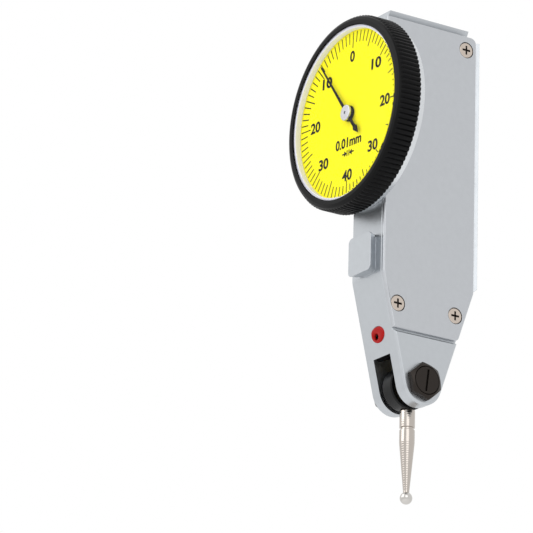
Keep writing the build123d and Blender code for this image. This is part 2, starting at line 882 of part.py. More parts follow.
def sector_face():
    """The sector lever in its own (y, z), with its arbor at the middle."""
    first = sector_first_angle + sector_pitch_angle / 2
    addendum = sector_addendum_share * sector_module
    dedendum = dedendum_share * sector_module
    root = sector_radius - dedendum
    face = make_face(Polyline(
        (-sector_arm_width, 0),
        (-sector_arm_width, sector_arm_top),
        sector_rim_edge(sector_inner_radius, sector_first_angle, -1),
        sector_rim_edge(root, sector_first_angle, -1),
        *gear_points(sector_full_teeth, sector_module, addendum, dedendum, first, sector_teeth),
        sector_rim_edge(root, sector_last_angle, 1),
        sector_rim_edge(sector_inner_radius, sector_last_angle, 1),
        (sector_waist, sector_arm_top + sector_waist_rise),
        (0, sector_arm_top),
        (0, 0),
        close=True,
    ))
    tail_end = -lower_pin_drop - 2 * drive_pin_radius
    tail = make_face(Polyline(
        (0, 0),
        (0, tail_end),
        (sector_tail_width, tail_end),
        (sector_arm_width, 0),
        close=True,
    ))
    window_top = sector_inner_radius - window_rim
    window = make_face(Polyline(
        (-window_shift, sector_arm_top + window_foot),
        (window_top * sin(radians(sector_first_angle)) + window_front_bar, window_top),
        (window_top * sin(radians(sector_last_angle)) - window_rear_bar, window_top - window_lean),
        close=True,
    ))
    window = fillet(window.vertices(), window_round)
    return face + tail + Circle(sector_hub_radius) - window - Circle(gear_arbor_radius)


def make_sector():
    """The sector lever, in the middle of its mesh with the wheel pinion."""
    return slab_yz(Pos(pivot_y, sector_z) * sector_face(), sector_x, sector_right_x)


def make_sector_arbor():
    """The sector's arbor, with a collar against the sector."""
    arbor = along_x(gear_arbor_radius, arbor_left_x, arbor_right_x, z=sector_z)
    return arbor + along_x(sector_collar_radius, sector_right_x, plate_x - sector_collar_gap, z=sector_z)


def lever_face():
    """The drive lever's face in (y, z): eye, window round the sector arbor, and tip."""
    neck = Pos(pivot_y, sector_z / 2) * Rectangle(2 * lever_half_width, sector_z)
    window_outer = lever_window_radius + lever_window_wall
    top = sector_z + upper_pin_rise
    tip_y = pivot_y + drive_pin_radius + drive_pin_gap
    arm = make_face(Polyline(
        (pivot_y - lever_half_width, sector_z),
        (tip_y - lever_tip_radius, top),
        (tip_y + lever_tip_radius, top),
        (pivot_y + lever_half_width, sector_z),
        close=True,
    ))
    face = neck + arm + Pos(pivot_y, 0) * Circle(lever_eye_radius)
    face += Pos(pivot_y, sector_z) * Circle(window_outer)
    face += Pos(tip_y, top) * Circle(lever_tip_radius)
    face -= Pos(pivot_y, sector_z) * Circle(lever_window_radius)
    for y, z in drive_pin_places():
        face -= Pos(y, z) * Circle(drive_pin_radius)
    return face - Pos(pivot_y, 0) * Circle(lever_seat_radius)


def drive_pin_places():
    """The two drive pins: below the sector arbor in front of the tail, above it behind the arm."""
    reach = drive_pin_radius + drive_pin_gap
    return (pivot_y - reach, sector_z - lower_pin_drop), (pivot_y + reach, sector_z + upper_pin_rise)


def make_drive_lever():
    """The thin lever that carries the stylus's swing up into the case."""
    return slab_yz(lever_face(), lever_x, lever_right_x)


def make_drive_pins():
    """The two pins that push the sector, whichever way the stylus swings."""
    pins = [along_x(drive_pin_radius, lever_x, sector_right_x, y, z) for y, z in drive_pin_places()]
    return Compound(children=pins)


def make_stylus_arbor():
    """The arbor between the pivot screws, with the spindle that the stylus turns on."""
    left_tip = slot_left_x + screw_tip_stand
    right_tip = slot_right_x - screw_tip_stand
    head_right = drum_left + clutch_recess_depth - clutch_washer_space
    arbor = along_x(journal_radius, left_tip - journal_length, right_tip + journal_length)
    arbor += along_x(clutch_head_radius, head_right - clutch_head_thickness, head_right)
    arbor += along_x(spindle_radius, head_right - lap, lever_x)
    return arbor + along_x(lever_seat_radius, lever_x - lap, lever_right_x)


def make_clutch_washer():
    """The coned spring washer that gives the stylus its friction."""
    floor_x = drum_left + clutch_recess_depth
    high, low = floor_x - clutch_washer_space, floor_x - washer_floor_gap
    inner, outer = spindle_radius + washer_bore_gap, clutch_head_radius + washer_lip
    thickness = clutch_washer_thickness
    section = make_face(Polyline(
        (inner, -high),
        (inner, -high - thickness),
        (outer, -low),
        (outer, -low + thickness),
        close=True,
    ))
    washer = Rot(0, 0, 90) * revolve(section, Axis.Y)
    return Pos(0, pivot_y, 0) * washer


def make_drum():
    """The stylus holder: a dark drum with a flat where the contact point screws in."""
    drum = along_x(drum_radius, drum_left, drum_right)
    drum = chamfer(drum.edges().filter_by(GeomType.CIRCLE), drum_edge)
    left, right = drum_left - overrun, drum_right + overrun
    drum -= along_x(spindle_radius + shaft_clearance, left, right)
    drum -= along_x(clutch_recess_radius, left, drum_left + clutch_recess_depth)
    drum -= block(left, right, 0, case_depth, -2 * drum_radius, drum_flat_z)
    spigot = Cylinder(spigot_radius, spigot_length + overrun, align=(Align.CENTER, Align.CENTER, Align.MAX))
    return drum - Pos(stylus_x, stylus_y, drum_flat_z + spigot_length) * spigot


def make_contact_point():
    """The screwed-in contact point: shank, ring groove and long taper to the ball's seat."""
    seat_z = -stylus_length + sqrt(ball_radius ** 2 - stem_neck_radius ** 2)
    groove_top = stem_groove_z + stem_groove_width / 2
    groove_low = stem_groove_z - stem_groove_width / 2
    groove = stem_radius - stem_groove_depth
    section = make_face(Polyline(
        (0, drum_flat_z + spigot_length),
        (spigot_radius, drum_flat_z + spigot_length),
        (spigot_radius, drum_flat_z),
        (stem_radius - stem_shoulder, drum_flat_z),
        (stem_radius, drum_flat_z - stem_shoulder),
        (stem_radius, groove_top + stem_groove_slope),
        (groove, groove_top - stem_groove_slope),
        (groove, groove_low + stem_groove_slope),
        (stem_radius, groove_low - stem_groove_slope),
        (stem_radius, stem_taper_z),
        (stem_neck_radius, seat_z),
        (0, seat_z),
        close=True,
    ))
    stem = Rot(90, 0, 0) * revolve(section, Axis.Y)
    stem = Pos(stylus_x, stylus_y, 0) * stem
    return stem - Pos(stylus_x, stylus_y, -stylus_length) * Sphere(ball_radius)


def make_ball():
    """The contact ball."""
    return Pos(stylus_x, stylus_y, -stylus_length) * Sphere(ball_radius)


def make_pivot_screw(side):
    """A bearing screw: slotted hexagon head, plain shank and a bored tip for the arbor."""
    tip_x = (slot_right_x if side > 0 else -slot_left_x) - screw_tip_stand
    head = RegularPolygon(screw_corner_radius, 6)
    head = Rot(0, 0, 90 + side * screw_hex_lean) * head
    body = slab_yz(head, half_width, half_width + screw_head_thickness)
    face_x = half_width + screw_head_thickness
    reach = screw_corner_radius + lap
    slope = screw_chamfer_depth / (screw_corner_radius - screw_face_radius)
    limit_section = make_face(Polyline(
        (0, half_width),
        (reach, half_width),
        (reach, face_x - slope * (reach - screw_face_radius)),
        (screw_face_radius, face_x),
        (0, face_x),
        close=True,
    ))
    body &= Rot(0, 0, -90) * revolve(limit_section, Axis.Y)
    body += along_x(screw_shank_radius, tip_x, half_width, 0)
    bore_end = tip_x + journal_length + journal_end_play
    body -= along_x(journal_radius + shaft_clearance, tip_x - overrun, bore_end, 0)
    slot = Box(2 * screw_slot_depth, screw_slot_width, 4 * screw_corner_radius)
    slot = Rot(side * -screw_slot_lean, 0, 0) * slot
    body -= Pos(face_x, 0, 0) * slot
    return Pos(0, pivot_y, 0) * (body if side > 0 else Rot(0, 0, 180) * body)


def make_seal():
    """The red sealing lacquer over the setting screw, with a small opening."""
    slope = slope_plane(seal_z)
    face = Ellipse(seal_half_width, seal_half_height)
    face -= Pos(seal_hole_x, -seal_hole_down) * Circle(seal_hole_radius)
    return extrude(slope * Pos(0, 0, -seal_depth) * face, seal_depth - seal_below)


def make_setting_screw():
    """The setting screw behind the lacquer, with a small socket."""
    spot = slope_plane(seal_z) * Pos(seal_hole_x, -seal_hole_down, -setting_screw_below)
    screw = extrude(spot * Circle(setting_screw_radius), -setting_screw_length)
    return screw - extrude(spot * RegularPolygon(setting_socket_radius, 6), -setting_socket_depth)


def make_movement_plate():
    """The plate that carries the right-hand ends of the arbors and the pointer arbor's tail."""
    face = Sketch()
    lower_rear, lower_front, top = plate_feet
    face += bar_between((pivot_y, sector_z), top, plate_half_width)
    for y, z in (lower_rear, lower_front):
        face += bar_between((pivot_y, z), (y, z), plate_arm_half_width)
    plate = slab_yz(face, plate_x, plate_right_x)
    lug_low, lug_high = wheel_z - lug_half_height, wheel_z + lug_half_height
    lug_rear_y = lug_front_y + lug_thickness
    plate += block(-lug_reach, plate_right_x, lug_front_y, lug_rear_y, lug_low, lug_high)
    plate += block(plate_x, plate_right_x, lug_front_y, pivot_y, lug_low, lug_high)
    plate -= along_y(pointer_bush_radius, lug_front_y - lap, lug_rear_y + lap)
    for z in (sector_z, wheel_z):
        plate -= along_x(bush_radius, plate_x, plate_right_x, z=z)
    for y, z in plate_feet:
        plate -= along_x(plate_screw_radius, plate_x, plate_right_x, y, z)
    stop_y, stop_z = stop_pin_place()
    return plate - along_x(stop_pin_radius, plate_x, plate_right_x, stop_y, stop_z)


def bar_between(start, end, half):
    """A round-ended bar between two (y, z) points, as a face."""
    run_y, run_z = end[0] - start[0], end[1] - start[1]
    middle = Pos((start[0] + end[0]) / 2, (start[1] + end[1]) / 2)
    turn = Rot(0, 0, degrees(atan2(run_z, run_y)))
    return middle * turn * SlotOverall(hypot(run_y, run_z) + 2 * half, 2 * half)


def stop_pin_place():
    """The rest stop, just behind the sector's arm."""
    low_y, low_z = sector_waist, sector_arm_top + sector_waist_rise
    high_y, high_z = sector_rim_edge(sector_inner_radius, sector_last_angle, 1)
    slope = (high_y - low_y) / (high_z - low_z)
    edge_y = low_y + (stop_pin_height - low_z) * slope
    reach = (stop_pin_radius + drive_pin_gap) * hypot(1.0, slope)
    return pivot_y + edge_y + reach, sector_z + stop_pin_height


def make_stop_pin():
    """The pin in the movement plate that the sector rests against."""
    y, z = stop_pin_place()
    return along_x(stop_pin_radius, sector_x, plate_right_x, y, z)


def make_plate_screws():
    """The three screws of the movement plate."""
    screws = []
    top = plate_right_x + plate_screw_head_height
    end = plate_right_x - plate_screw_length + screw_tip_gap
    half_slot = plate_slot_width / 2
    for y, z in plate_feet:
        near, far = y - plate_screw_head_radius, y + plate_screw_head_radius
        head = along_x(plate_screw_head_radius, plate_right_x, top, y, z)
        head -= block(top - plate_slot_depth, top, near, far, z - half_slot, z + half_slot)
        screws.append(head + along_x(plate_screw_radius, end, plate_right_x, y, z))
    return Compound(children=screws)


def make_arbor_bushes():
    """The four bearing bushes of the sector and crown wheel arbors."""
    bushes = []
    left_x = bush_end_cover - half_width
    sector_left_end = inner_left_x + bush_stand
    wheel_left_end = crown_hub_left_x - wheel_end_play
    for z, left_end in ((sector_z, sector_left_end), (wheel_z, wheel_left_end)):
        for start, end in ((left_x, left_end), (plate_x, plate_right_x)):
            bush = along_x(bush_radius, start, end, z=z)
            bore = gear_arbor_radius + shaft_clearance
            bushes.append(bush - along_x(bore, start - overrun, end + overrun, z=z))
    return Compound(children=bushes)


def make_pointer_bushes():
    """The front and rear bushes of the pointer arbor."""
    front = along_y(bush_radius, -seat_thickness, case_wall)
    rear = along_y(pointer_bush_radius, lug_front_y, lug_front_y + lug_thickness)
    bore = along_y(arbor_radius + shaft_clearance, -bezel_front, arbor_end_y + overrun)
    return Compound(children=[front - bore, rear - bore])


os.makedirs("parts", exist_ok=True)
write("case_body", make_case())
write("side_cover", make_cover())
write("cover_screws", make_cover_screws())
write("dial_seat", make_seat())
write("seat_screws", make_seat_screws())
write("bezel_snap_ring", make_snap_ring())
write("bezel_ring", make_bezel())
write("crystal", make_crystal())
write("crystal_spacer", make_spacer())
write("dial_plate", make_dial())
write("pointer_arbor", make_pointer_arbor())
write("pointer_hand", make_hand())
write("pointer_hub", make_hub())
write("hand_boss", make_hand_boss())
write("spring_collet", make_collet())
write("hairspring", make_hairspring())
write("spring_stud", make_spring_stud())
write("crown_wheel", make_crown_wheel())
write("wheel_arbor", make_wheel_arbor())
write("sector_gear", make_sector())
write("sector_arbor", make_sector_arbor())
write("drive_lever", make_drive_lever())
write("drive_pins", make_drive_pins())
write("stylus_arbor", make_stylus_arbor())
write("clutch_washer", make_clutch_washer())
write("stylus_holder", make_drum())
write("contact_point", make_contact_point())
write("contact_ball", make_ball())
write("pivot_screw_right", make_pivot_screw(1))
write("pivot_screw_left", make_pivot_screw(-1))
write("sealing_lacquer", make_seal())
write("setting_screw", make_setting_screw())
write("movement_plate", make_movement_plate())
write("plate_screws", make_plate_screws())
write("stop_pin", make_stop_pin())
write("arbor_bushes", make_arbor_bushes())
write("pointer_bushes", make_pointer_bushes())
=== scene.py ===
"""Looks of a lever-type dial test indicator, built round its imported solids.

Shapes are worked out in millimetres in the part's own frame: +Z up the case, -Y out of the dial and
+X towards the side cover. They become metres when a mesh is made.
"""

import json
import logging
import math
from dataclasses import dataclass, field
from enum import Enum
from typing import Any, Callable

import bmesh
import bpy
import numpy as np
from mathutils import Matrix, Vector

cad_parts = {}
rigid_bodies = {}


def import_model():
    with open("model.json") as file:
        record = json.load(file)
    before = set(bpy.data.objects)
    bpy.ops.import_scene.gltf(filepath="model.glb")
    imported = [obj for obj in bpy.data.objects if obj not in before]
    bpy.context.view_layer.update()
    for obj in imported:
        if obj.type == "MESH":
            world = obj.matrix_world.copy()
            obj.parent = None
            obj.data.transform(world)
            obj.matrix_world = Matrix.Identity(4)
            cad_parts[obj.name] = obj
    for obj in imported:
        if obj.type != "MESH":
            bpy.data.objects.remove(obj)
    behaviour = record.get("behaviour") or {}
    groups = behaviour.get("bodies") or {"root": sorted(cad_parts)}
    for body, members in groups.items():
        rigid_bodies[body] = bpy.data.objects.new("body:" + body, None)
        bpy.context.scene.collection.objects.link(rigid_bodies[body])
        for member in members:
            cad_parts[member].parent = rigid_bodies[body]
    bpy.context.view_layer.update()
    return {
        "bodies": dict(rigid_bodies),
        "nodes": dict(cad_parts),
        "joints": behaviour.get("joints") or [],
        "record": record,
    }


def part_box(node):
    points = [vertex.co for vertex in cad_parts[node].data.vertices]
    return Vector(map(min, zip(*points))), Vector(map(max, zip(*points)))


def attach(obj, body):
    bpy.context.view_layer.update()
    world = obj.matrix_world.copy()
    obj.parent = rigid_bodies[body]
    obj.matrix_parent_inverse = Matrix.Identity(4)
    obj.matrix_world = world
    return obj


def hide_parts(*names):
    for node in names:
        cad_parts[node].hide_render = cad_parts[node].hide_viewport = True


MM = 0.001
PHOTO_PIXELS = 533
SENSOR_MM = 36.0
WELD_MM = 0.0005
PRINT_STAND_MM = 0.03
# The length of one wave of the Wave texture at a scale of 1, in metres
WAVE_LENGTH = 0.314
LOG = logging.getLogger("indicator")


class Body(Enum):
    """The rigid bodies of the frame that new pieces ride on."""

    CASE = "case"
    BEZEL = "bezel"
    POINTER = "pointer"
    STYLUS = "stylus"


class Turn(Enum):
    """The axis that a turned piece is made about."""

    X = 0
    Y = 1
    Z = 2


def linear(hex_colour: str) -> tuple[float, float, float, float]:
    """Turns an sRGB hex colour into linear RGBA.

    Args:
        hex_colour: six hex digits after a hash sign.

    Returns:
        The linear red, green and blue, and an alpha of 1.
    """
    values = [int(hex_colour[i:i + 2], 16) / 255 for i in (1, 3, 5)]
    curved = [v / 12.92 if v <= 0.04045 else ((v + 0.055) / 1.055) ** 2.4 for v in values]
    return curved[0], curved[1], curved[2], 1.0


def add_node(tree: bpy.types.NodeTree, kind: str, inputs: dict[Any, Any] | None = None,
             **settings: Any) -> bpy.types.Node:
    """Adds a node with its settings, and sets or links its inputs.

    Args:
        tree: the node tree that gets the node.
        kind: the node's type name.
        inputs: input name or number to a value, or to the socket that feeds it.
        settings: attributes of the node itself.

    Returns:
        The new node.
    """
    node = tree.nodes.new(kind)
    for name, value in settings.items():
        setattr(node, name, value)
    for key, value in (inputs or {}).items():
        if isinstance(value, bpy.types.NodeSocket):
            tree.links.new(value, node.inputs[key])
        else:
            node.inputs[key].default_value = value
    return node


@dataclass(frozen=True)
class Finish:
    """One real finish: its colour, its shine and the fine grain of its surface.

    The grain is noise whose features are grain_mm across. It shades the colour by shade_spread, the
    roughness by roughness_spread, and raises the surface by grain_height_mm. Turning marks are rings
    ring_pitch_mm apart along Z.
    """

    name: str
    colour: str
    metallic: float = 0.0
    roughness: float = 0.4
    specular: float = 0.5
    grain_mm: float = 0.25
    grain_height_mm: float = 0.0
    grain_stretch: tuple[float, float, float] = (1.0, 1.0, 1.0)
    roughness_spread: float = 0.05
    shade_spread: float = 0.05
    smudge_mm: float = 7.0
    ring_pitch_mm: float = 0.0
    ring_height_mm: float = 0.0
    coat: float = 0.0
    coat_roughness: float = 0.1

    def material(self) -> bpy.types.Material:
        """Builds the material once and returns it each time it is asked for."""
        known = bpy.data.materials.get(self.name)
        if known is not None:
            return known
        made = bpy.data.materials.new(self.name)
        made.use_nodes = True
        tree = made.node_tree
        tree.nodes.clear()
        self.shade(tree)
        return made

    def shade(self, tree: bpy.types.NodeTree) -> None:
        """Fills a material's tree with the finish's grain, smudges, rings and shader.

        Args:
            tree: the empty tree of the material.
        """
        spot = add_node(tree, "ShaderNodeTexCoord").outputs["Object"]
        laid = add_node(tree, "ShaderNodeMapping", {"Vector": spot, "Scale": self.grain_stretch})
        grain = add_node(tree, "ShaderNodeTexNoise",
                         {"Vector": laid.outputs[0], "Scale": 1 / (self.grain_mm * MM), "Detail": 3.0})
        smudge = add_node(tree, "ShaderNodeTexNoise",
                          {"Vector": spot, "Scale": 1 / (self.smudge_mm * MM), "Detail": 2.0})
        base = linear(self.colour)
        dark = tuple(c * (1 - self.shade_spread) for c in base[:3]) + (1.0,)
        colour = add_node(tree, "ShaderNodeMix", {"Factor": grain.outputs[0], "A": dark, "B": base},
                          data_type="RGBA")
        blend = add_node(tree, "ShaderNodeMath", {0: grain.outputs[0], 1: smudge.outputs[0]}, operation="ADD")
        rough = add_node(tree, "ShaderNodeMapRange", {
            "Value": blend.outputs[0], "From Min": 0.6, "From Max": 1.4,
            "To Min": max(self.roughness - self.roughness_spread, 0.0),
            "To Max": self.roughness + self.roughness_spread,
        })
        shader_inputs = {
            "Base Color": colour.outputs["Result"], "Metallic": self.metallic, "Roughness": rough.outputs[0],
            "Specular IOR Level": self.specular, "Coat Weight": self.coat,
            "Coat Roughness": self.coat_roughness,
        }
        normal = None
        if self.grain_height_mm > 0:
            normal = add_node(tree, "ShaderNodeBump", {
                "Height": grain.outputs[0], "Distance": self.grain_height_mm * MM, "Strength": 1.0,
            }).outputs[0]
        if self.ring_height_mm > 0:
            rings = add_node(tree, "ShaderNodeTexWave", {
                "Vector": spot, "Scale": WAVE_LENGTH / (self.ring_pitch_mm * MM), "Distortion": 0.6,
                "Detail": 2.0,
            }, wave_type="BANDS", bands_direction="Z")
            inputs = {"Height": rings.outputs["Fac"], "Distance": self.ring_height_mm * MM, "Strength": 1.0}
            if normal is not None:
                inputs["Normal"] = normal
            normal = add_node(tree, "ShaderNodeBump", inputs).outputs[0]
        if normal is not None:
            shader_inputs["Normal"] = normal
        shader = add_node(tree, "ShaderNodeBsdfPrincipled", shader_inputs)
        add_node(tree, "ShaderNodeOutputMaterial", {"Surface": shader.outputs[0]})


@dataclass(frozen=True)
class ClearCrystal(Finish):
    """Acrylic watch crystal: clear, with hardly any glare, and it lets shadow rays through.

    Its IOR is far under acrylic's 1.49, because the photograph shows hardly any glare or shifted print.
    """

    ior: float = 1.12

    def shade(self, tree: bpy.types.NodeTree) -> None:
        """Fills the tree with clear acrylic that light passes straight for shadows and diffuse rays.

        Args:
            tree: the empty tree of the material.
        """
        spot = add_node(tree, "ShaderNodeTexCoord").outputs["Object"]
        haze = add_node(tree, "ShaderNodeTexNoise", {"Vector": spot, "Scale": 1 / (self.smudge_mm * MM)})
        rough = add_node(tree, "ShaderNodeMapRange",
                         {"Value": haze.outputs[0], "To Min": 0.0, "To Max": self.roughness_spread})
        clear = add_node(tree, "ShaderNodeBsdfPrincipled", {
            "Base Color": linear(self.colour), "Roughness": rough.outputs[0], "IOR": self.ior,
            "Transmission Weight": 1.0, "Specular IOR Level": self.specular,
        })
        path = add_node(tree, "ShaderNodeLightPath")
        through = add_node(tree, "ShaderNodeMath", {
            0: path.outputs["Is Shadow Ray"], 1: path.outputs["Is Diffuse Ray"]}, operation="MAXIMUM")
        open_air = add_node(tree, "ShaderNodeBsdfTransparent")
        both = add_node(tree, "ShaderNodeMixShader",
                        {0: through.outputs[0], 1: clear.outputs[0], 2: open_air.outputs[0]})
        add_node(tree, "ShaderNodeOutputMaterial", {"Surface": both.outputs[0]})


# Satin chrome on a bead-blasted zinc casting: a pearly, even shine without streaks
SATIN_CHROME = Finish("satin chrome on casting", "#bfc3c7", 1.0, 0.36, grain_mm=0.9, grain_height_mm=0.0016,
                      roughness_spread=0.05, shade_spread=0.09)
# The flat cover is finer, so it is a little brighter and smoother
SATIN_COVER = Finish("satin chrome on flat cover", "#bfc2c6", 1.0, 0.34, grain_mm=0.8, grain_height_mm=0.0012,
                     roughness_spread=0.04, shade_spread=0.08)
# Bright nickel on steel screw heads: warm, with a soft mirror
BRIGHT_NICKEL = Finish("bright nickel plate", "#c8bcb1", 1.0, 0.22, grain_mm=0.15, roughness_spread=0.05)
# Turned and plated seat of the dial
PLATED_SEAT = Finish("turned and plated steel", "#d4d7da", 1.0, 0.28, grain_mm=0.2, roughness_spread=0.05)
# Black moulded phenolic of the bezel: semi-matte, with a weak sheen on the ridges
BEZEL_PLASTIC = Finish("black moulded plastic", "#020203", 0.0, 0.38, 0.13, grain_mm=0.12,
                       grain_height_mm=0.002, shade_spread=0.25)
# Enamelled dial: flat bright yellow with a very fine tooth
YELLOW_ENAMEL = Finish("yellow dial enamel", "#fff60c", 0.0, 0.7, 0.04, grain_mm=0.1, shade_spread=0.02)
# Screen-printed ink: dense matt black
PRINT_INK = Finish("black printing ink", "#0c0c0c", 0.0, 0.7, 0.05, grain_mm=0.1, shade_spread=0.1)
# Lacquered hand: black, a little smoother than the print
HAND_LACQUER = Finish("black hand lacquer", "#030303", 0.0, 0.5, 0.05, grain_mm=0.2, shade_spread=0.1)
# Hot black oxide on hardened steel: brown-black, with the steel's shine showing through
BLACK_OXIDE = Finish("black oxide on steel screw", "#2b2521", 0.6, 0.34, 0.4, grain_mm=0.18,
                     grain_height_mm=0.002, roughness_spread=0.08, shade_spread=0.2)
# The drum has the same oxide on a finely turned face, so it is smoother and cooler
BLACK_DRUM = Finish("black oxide on turned drum", "#101112", 0.35, 0.32, 0.3, grain_mm=0.2,
                    roughness_spread=0.06, shade_spread=0.15)
# Nickel-plated contact point, finely turned and then polished
POLISHED_POINT = Finish("polished nickel point", "#bbb4ad", 1.0, 0.15, grain_mm=0.3, roughness_spread=0.03,
                        ring_pitch_mm=0.36, ring_height_mm=0.006)
# Lapped steel ball: the brightest mirror on the part
LAPPED_BALL = Finish("lapped steel ball", "#c9c6c2", 1.0, 0.06, grain_mm=0.3, roughness_spread=0.02)
# Turned aluminium of the hub cap: pale, with a soft shine
TURNED_ALUMINIUM = Finish("turned pale aluminium", "#c3c3c8", 0.8, 0.38, 0.5, grain_mm=0.08,
                          shade_spread=0.05)
# Blasted silver spacer: almost white, and too rough to mirror the dial
SILVER_SPACER = Finish("blasted silver spacer", "#e6e6f0", 0.0, 0.6, 0.3, grain_mm=0.1, shade_spread=0.04)
# Sealing lacquer: glossy opaque red
SEALING_LACQUER = Finish("red sealing lacquer", "#a80300", 0.0, 0.4, 0.12, grain_mm=0.5, grain_height_mm=0.01,
                         shade_spread=0.15, coat=0.15, coat_roughness=0.12)
# Painted shade: a near-black brown put inside driver recesses and slots and the hub's dimple, where light
# hardly reaches
RECESS_PAINTED_SHADE = Finish("painted recess shade", "#1d1815", 0.5, 0.5, 0.2, grain_mm=0.15)
# Painted shade on the machined walls inside the fork slot: near-black where they lie in shadow
SLOT_PAINTED_SHADE = Finish("painted slot shade", "#0d0d0e", 0.4, 0.5, 0.2, grain_mm=0.3, shade_spread=0.3)
# Dark socket screw behind the lacquer
SOCKET_STEEL = Finish("dark socket screw steel", "#151412", 0.4, 0.4, grain_mm=0.2)
# Movement pieces that only show when the case is opened
MOVEMENT_BRASS = Finish("fine machined brass", "#d9b765", 1.0, 0.3, grain_mm=0.15, grain_height_mm=0.001)
MOVEMENT_STEEL = Finish("ground movement steel", "#b9bcc0", 1.0, 0.28, grain_mm=0.12,
                        grain_stretch=(0.2, 1.0, 1.0), grain_height_mm=0.001)
SPRING_STEEL = Finish("bright spring steel", "#a9adb3", 1.0, 0.25, grain_mm=0.2)
SPRING_ALLOY = Finish("hairspring alloy", "#c9bfa8", 1.0, 0.22, grain_mm=0.1)
CLEAR_ACRYLIC = ClearCrystal("clear acrylic crystal", "#ffffff", roughness=0.0, specular=0.1,
                             roughness_spread=0.01)

CARRIED_OVER = {
    "seat_screws": MOVEMENT_STEEL, "bezel_snap_ring": SPRING_STEEL, "spring_stud": MOVEMENT_BRASS,
    "setting_screw": SOCKET_STEEL, "movement_plate": MOVEMENT_BRASS, "plate_screws": MOVEMENT_STEEL,
    "stop_pin": MOVEMENT_STEEL, "arbor_bushes": MOVEMENT_BRASS, "pointer_bushes": MOVEMENT_BRASS,
    "pointer_arbor": MOVEMENT_STEEL, "hand_boss": HAND_LACQUER,
    "spring_collet": MOVEMENT_BRASS, "hairspring": SPRING_ALLOY, "crown_wheel": MOVEMENT_BRASS,
    "wheel_arbor": MOVEMENT_STEEL, "sector_gear": MOVEMENT_BRASS, "sector_arbor": MOVEMENT_STEEL,
    "drive_lever": MOVEMENT_BRASS, "drive_pins": MOVEMENT_STEEL, "stylus_arbor": MOVEMENT_STEEL,
    "clutch_washer": SPRING_STEEL,
}


def rounded(corners: list[tuple[float, ...]], steps: int = 4, closed: bool = True) -> np.ndarray:
    """Rounds the corners of a profile.

    A corner P with unit directions a and b to its neighbours becomes the curve
    (1-u)^2 (P + t a) + 2u(1-u) P + u^2 (P + t b), with t = radius / tan(half the corner's angle).

    Args:
        corners: points whose first two numbers are the plane of the profile. The last number is the
            radius of the corner, 0 to keep it sharp.
        steps: how many steps a rounded corner gets.
        closed: whether the last corner joins the first.

    Returns:
        The rounded profile, one row for each point.
    """
    table = np.array(corners, float)
    points, radii = table[:, :-1], table[:, -1]
    count = len(points)
    rows: list[np.ndarray] = []
    share = np.linspace(0.0, 1.0, steps + 1)[:, None]
    for i, (point, radius) in enumerate(zip(points, radii)):
        if radius <= 0 or (not closed and i in (0, count - 1)):
            rows.append(point[None, :])
            continue
        back, ahead = points[i - 1] - point, points[(i + 1) % count] - point
        back_length, ahead_length = np.linalg.norm(back[:2]), np.linalg.norm(ahead[:2])
        back, ahead = back / back_length, ahead / ahead_length
        angle = math.acos(float(np.clip(back[:2] @ ahead[:2], -1.0, 1.0)))
        reach = min(radius / math.tan(angle / 2), 0.45 * back_length, 0.45 * ahead_length)
        start, end = point + reach * back, point + reach * ahead
        rows.append((1 - share) ** 2 * start + 2 * share * (1 - share) * point + share ** 2 * end)
    return np.vstack(rows)


def finish_mesh(mesh: bpy.types.Mesh, sharp_degrees: float = 35.0) -> None:
    """Welds doubles, points the faces outwards and shades smooth up to an angle.

    Args:
        mesh: the mesh to finish.
        sharp_degrees: edges that turn more than this stay crisp.
    """
    work = bmesh.new()
    work.from_mesh(mesh)
    bmesh.ops.remove_doubles(work, verts=work.verts, dist=WELD_MM * MM)
    bmesh.ops.recalc_face_normals(work, faces=work.faces)
    work.to_mesh(mesh)
    work.free()
    mesh.polygons.foreach_set("use_smooth", np.ones(len(mesh.polygons), bool))
    mesh.set_sharp_from_angle(angle=math.radians(sharp_degrees))
    mesh.update()


def link(name: str, mesh: bpy.types.Mesh) -> bpy.types.Object:
    """Puts a mesh into the scene as an object at the origin."""
    made = bpy.data.objects.new(name, mesh)
    bpy.context.scene.collection.objects.link(made)
    return made


def grid_object(name: str, points: np.ndarray, wrap_rows: bool, wrap_columns: bool,
                sharp_degrees: float = 35.0) -> bpy.types.Object:
    """Makes a surface from a grid of points, with one quad between each four neighbours.

    Args:
        name: the object's name.
        points: rows by columns by 3, in millimetres.
        wrap_rows: whether the last row joins the first.
        wrap_columns: whether the last column joins the first.
        sharp_degrees: edges that turn more than this stay crisp.

    Returns:
        The new object, at the origin.
    """
    rows, columns = points.shape[:2]
    index = np.arange(rows * columns).reshape(rows, columns)
    if wrap_rows:
        index = np.vstack([index, index[:1]])
    if wrap_columns:
        index = np.hstack([index, index[:, :1]])
    corners = [index[:-1, :-1], index[1:, :-1], index[1:, 1:], index[:-1, 1:]]
    quads = np.stack(corners, axis=-1).reshape(-1, 4)
    mesh = bpy.data.meshes.new(name)
    mesh.from_pydata((points.reshape(-1, 3) * MM).tolist(), [], quads.tolist())
    finish_mesh(mesh, sharp_degrees)
    return link(name, mesh)


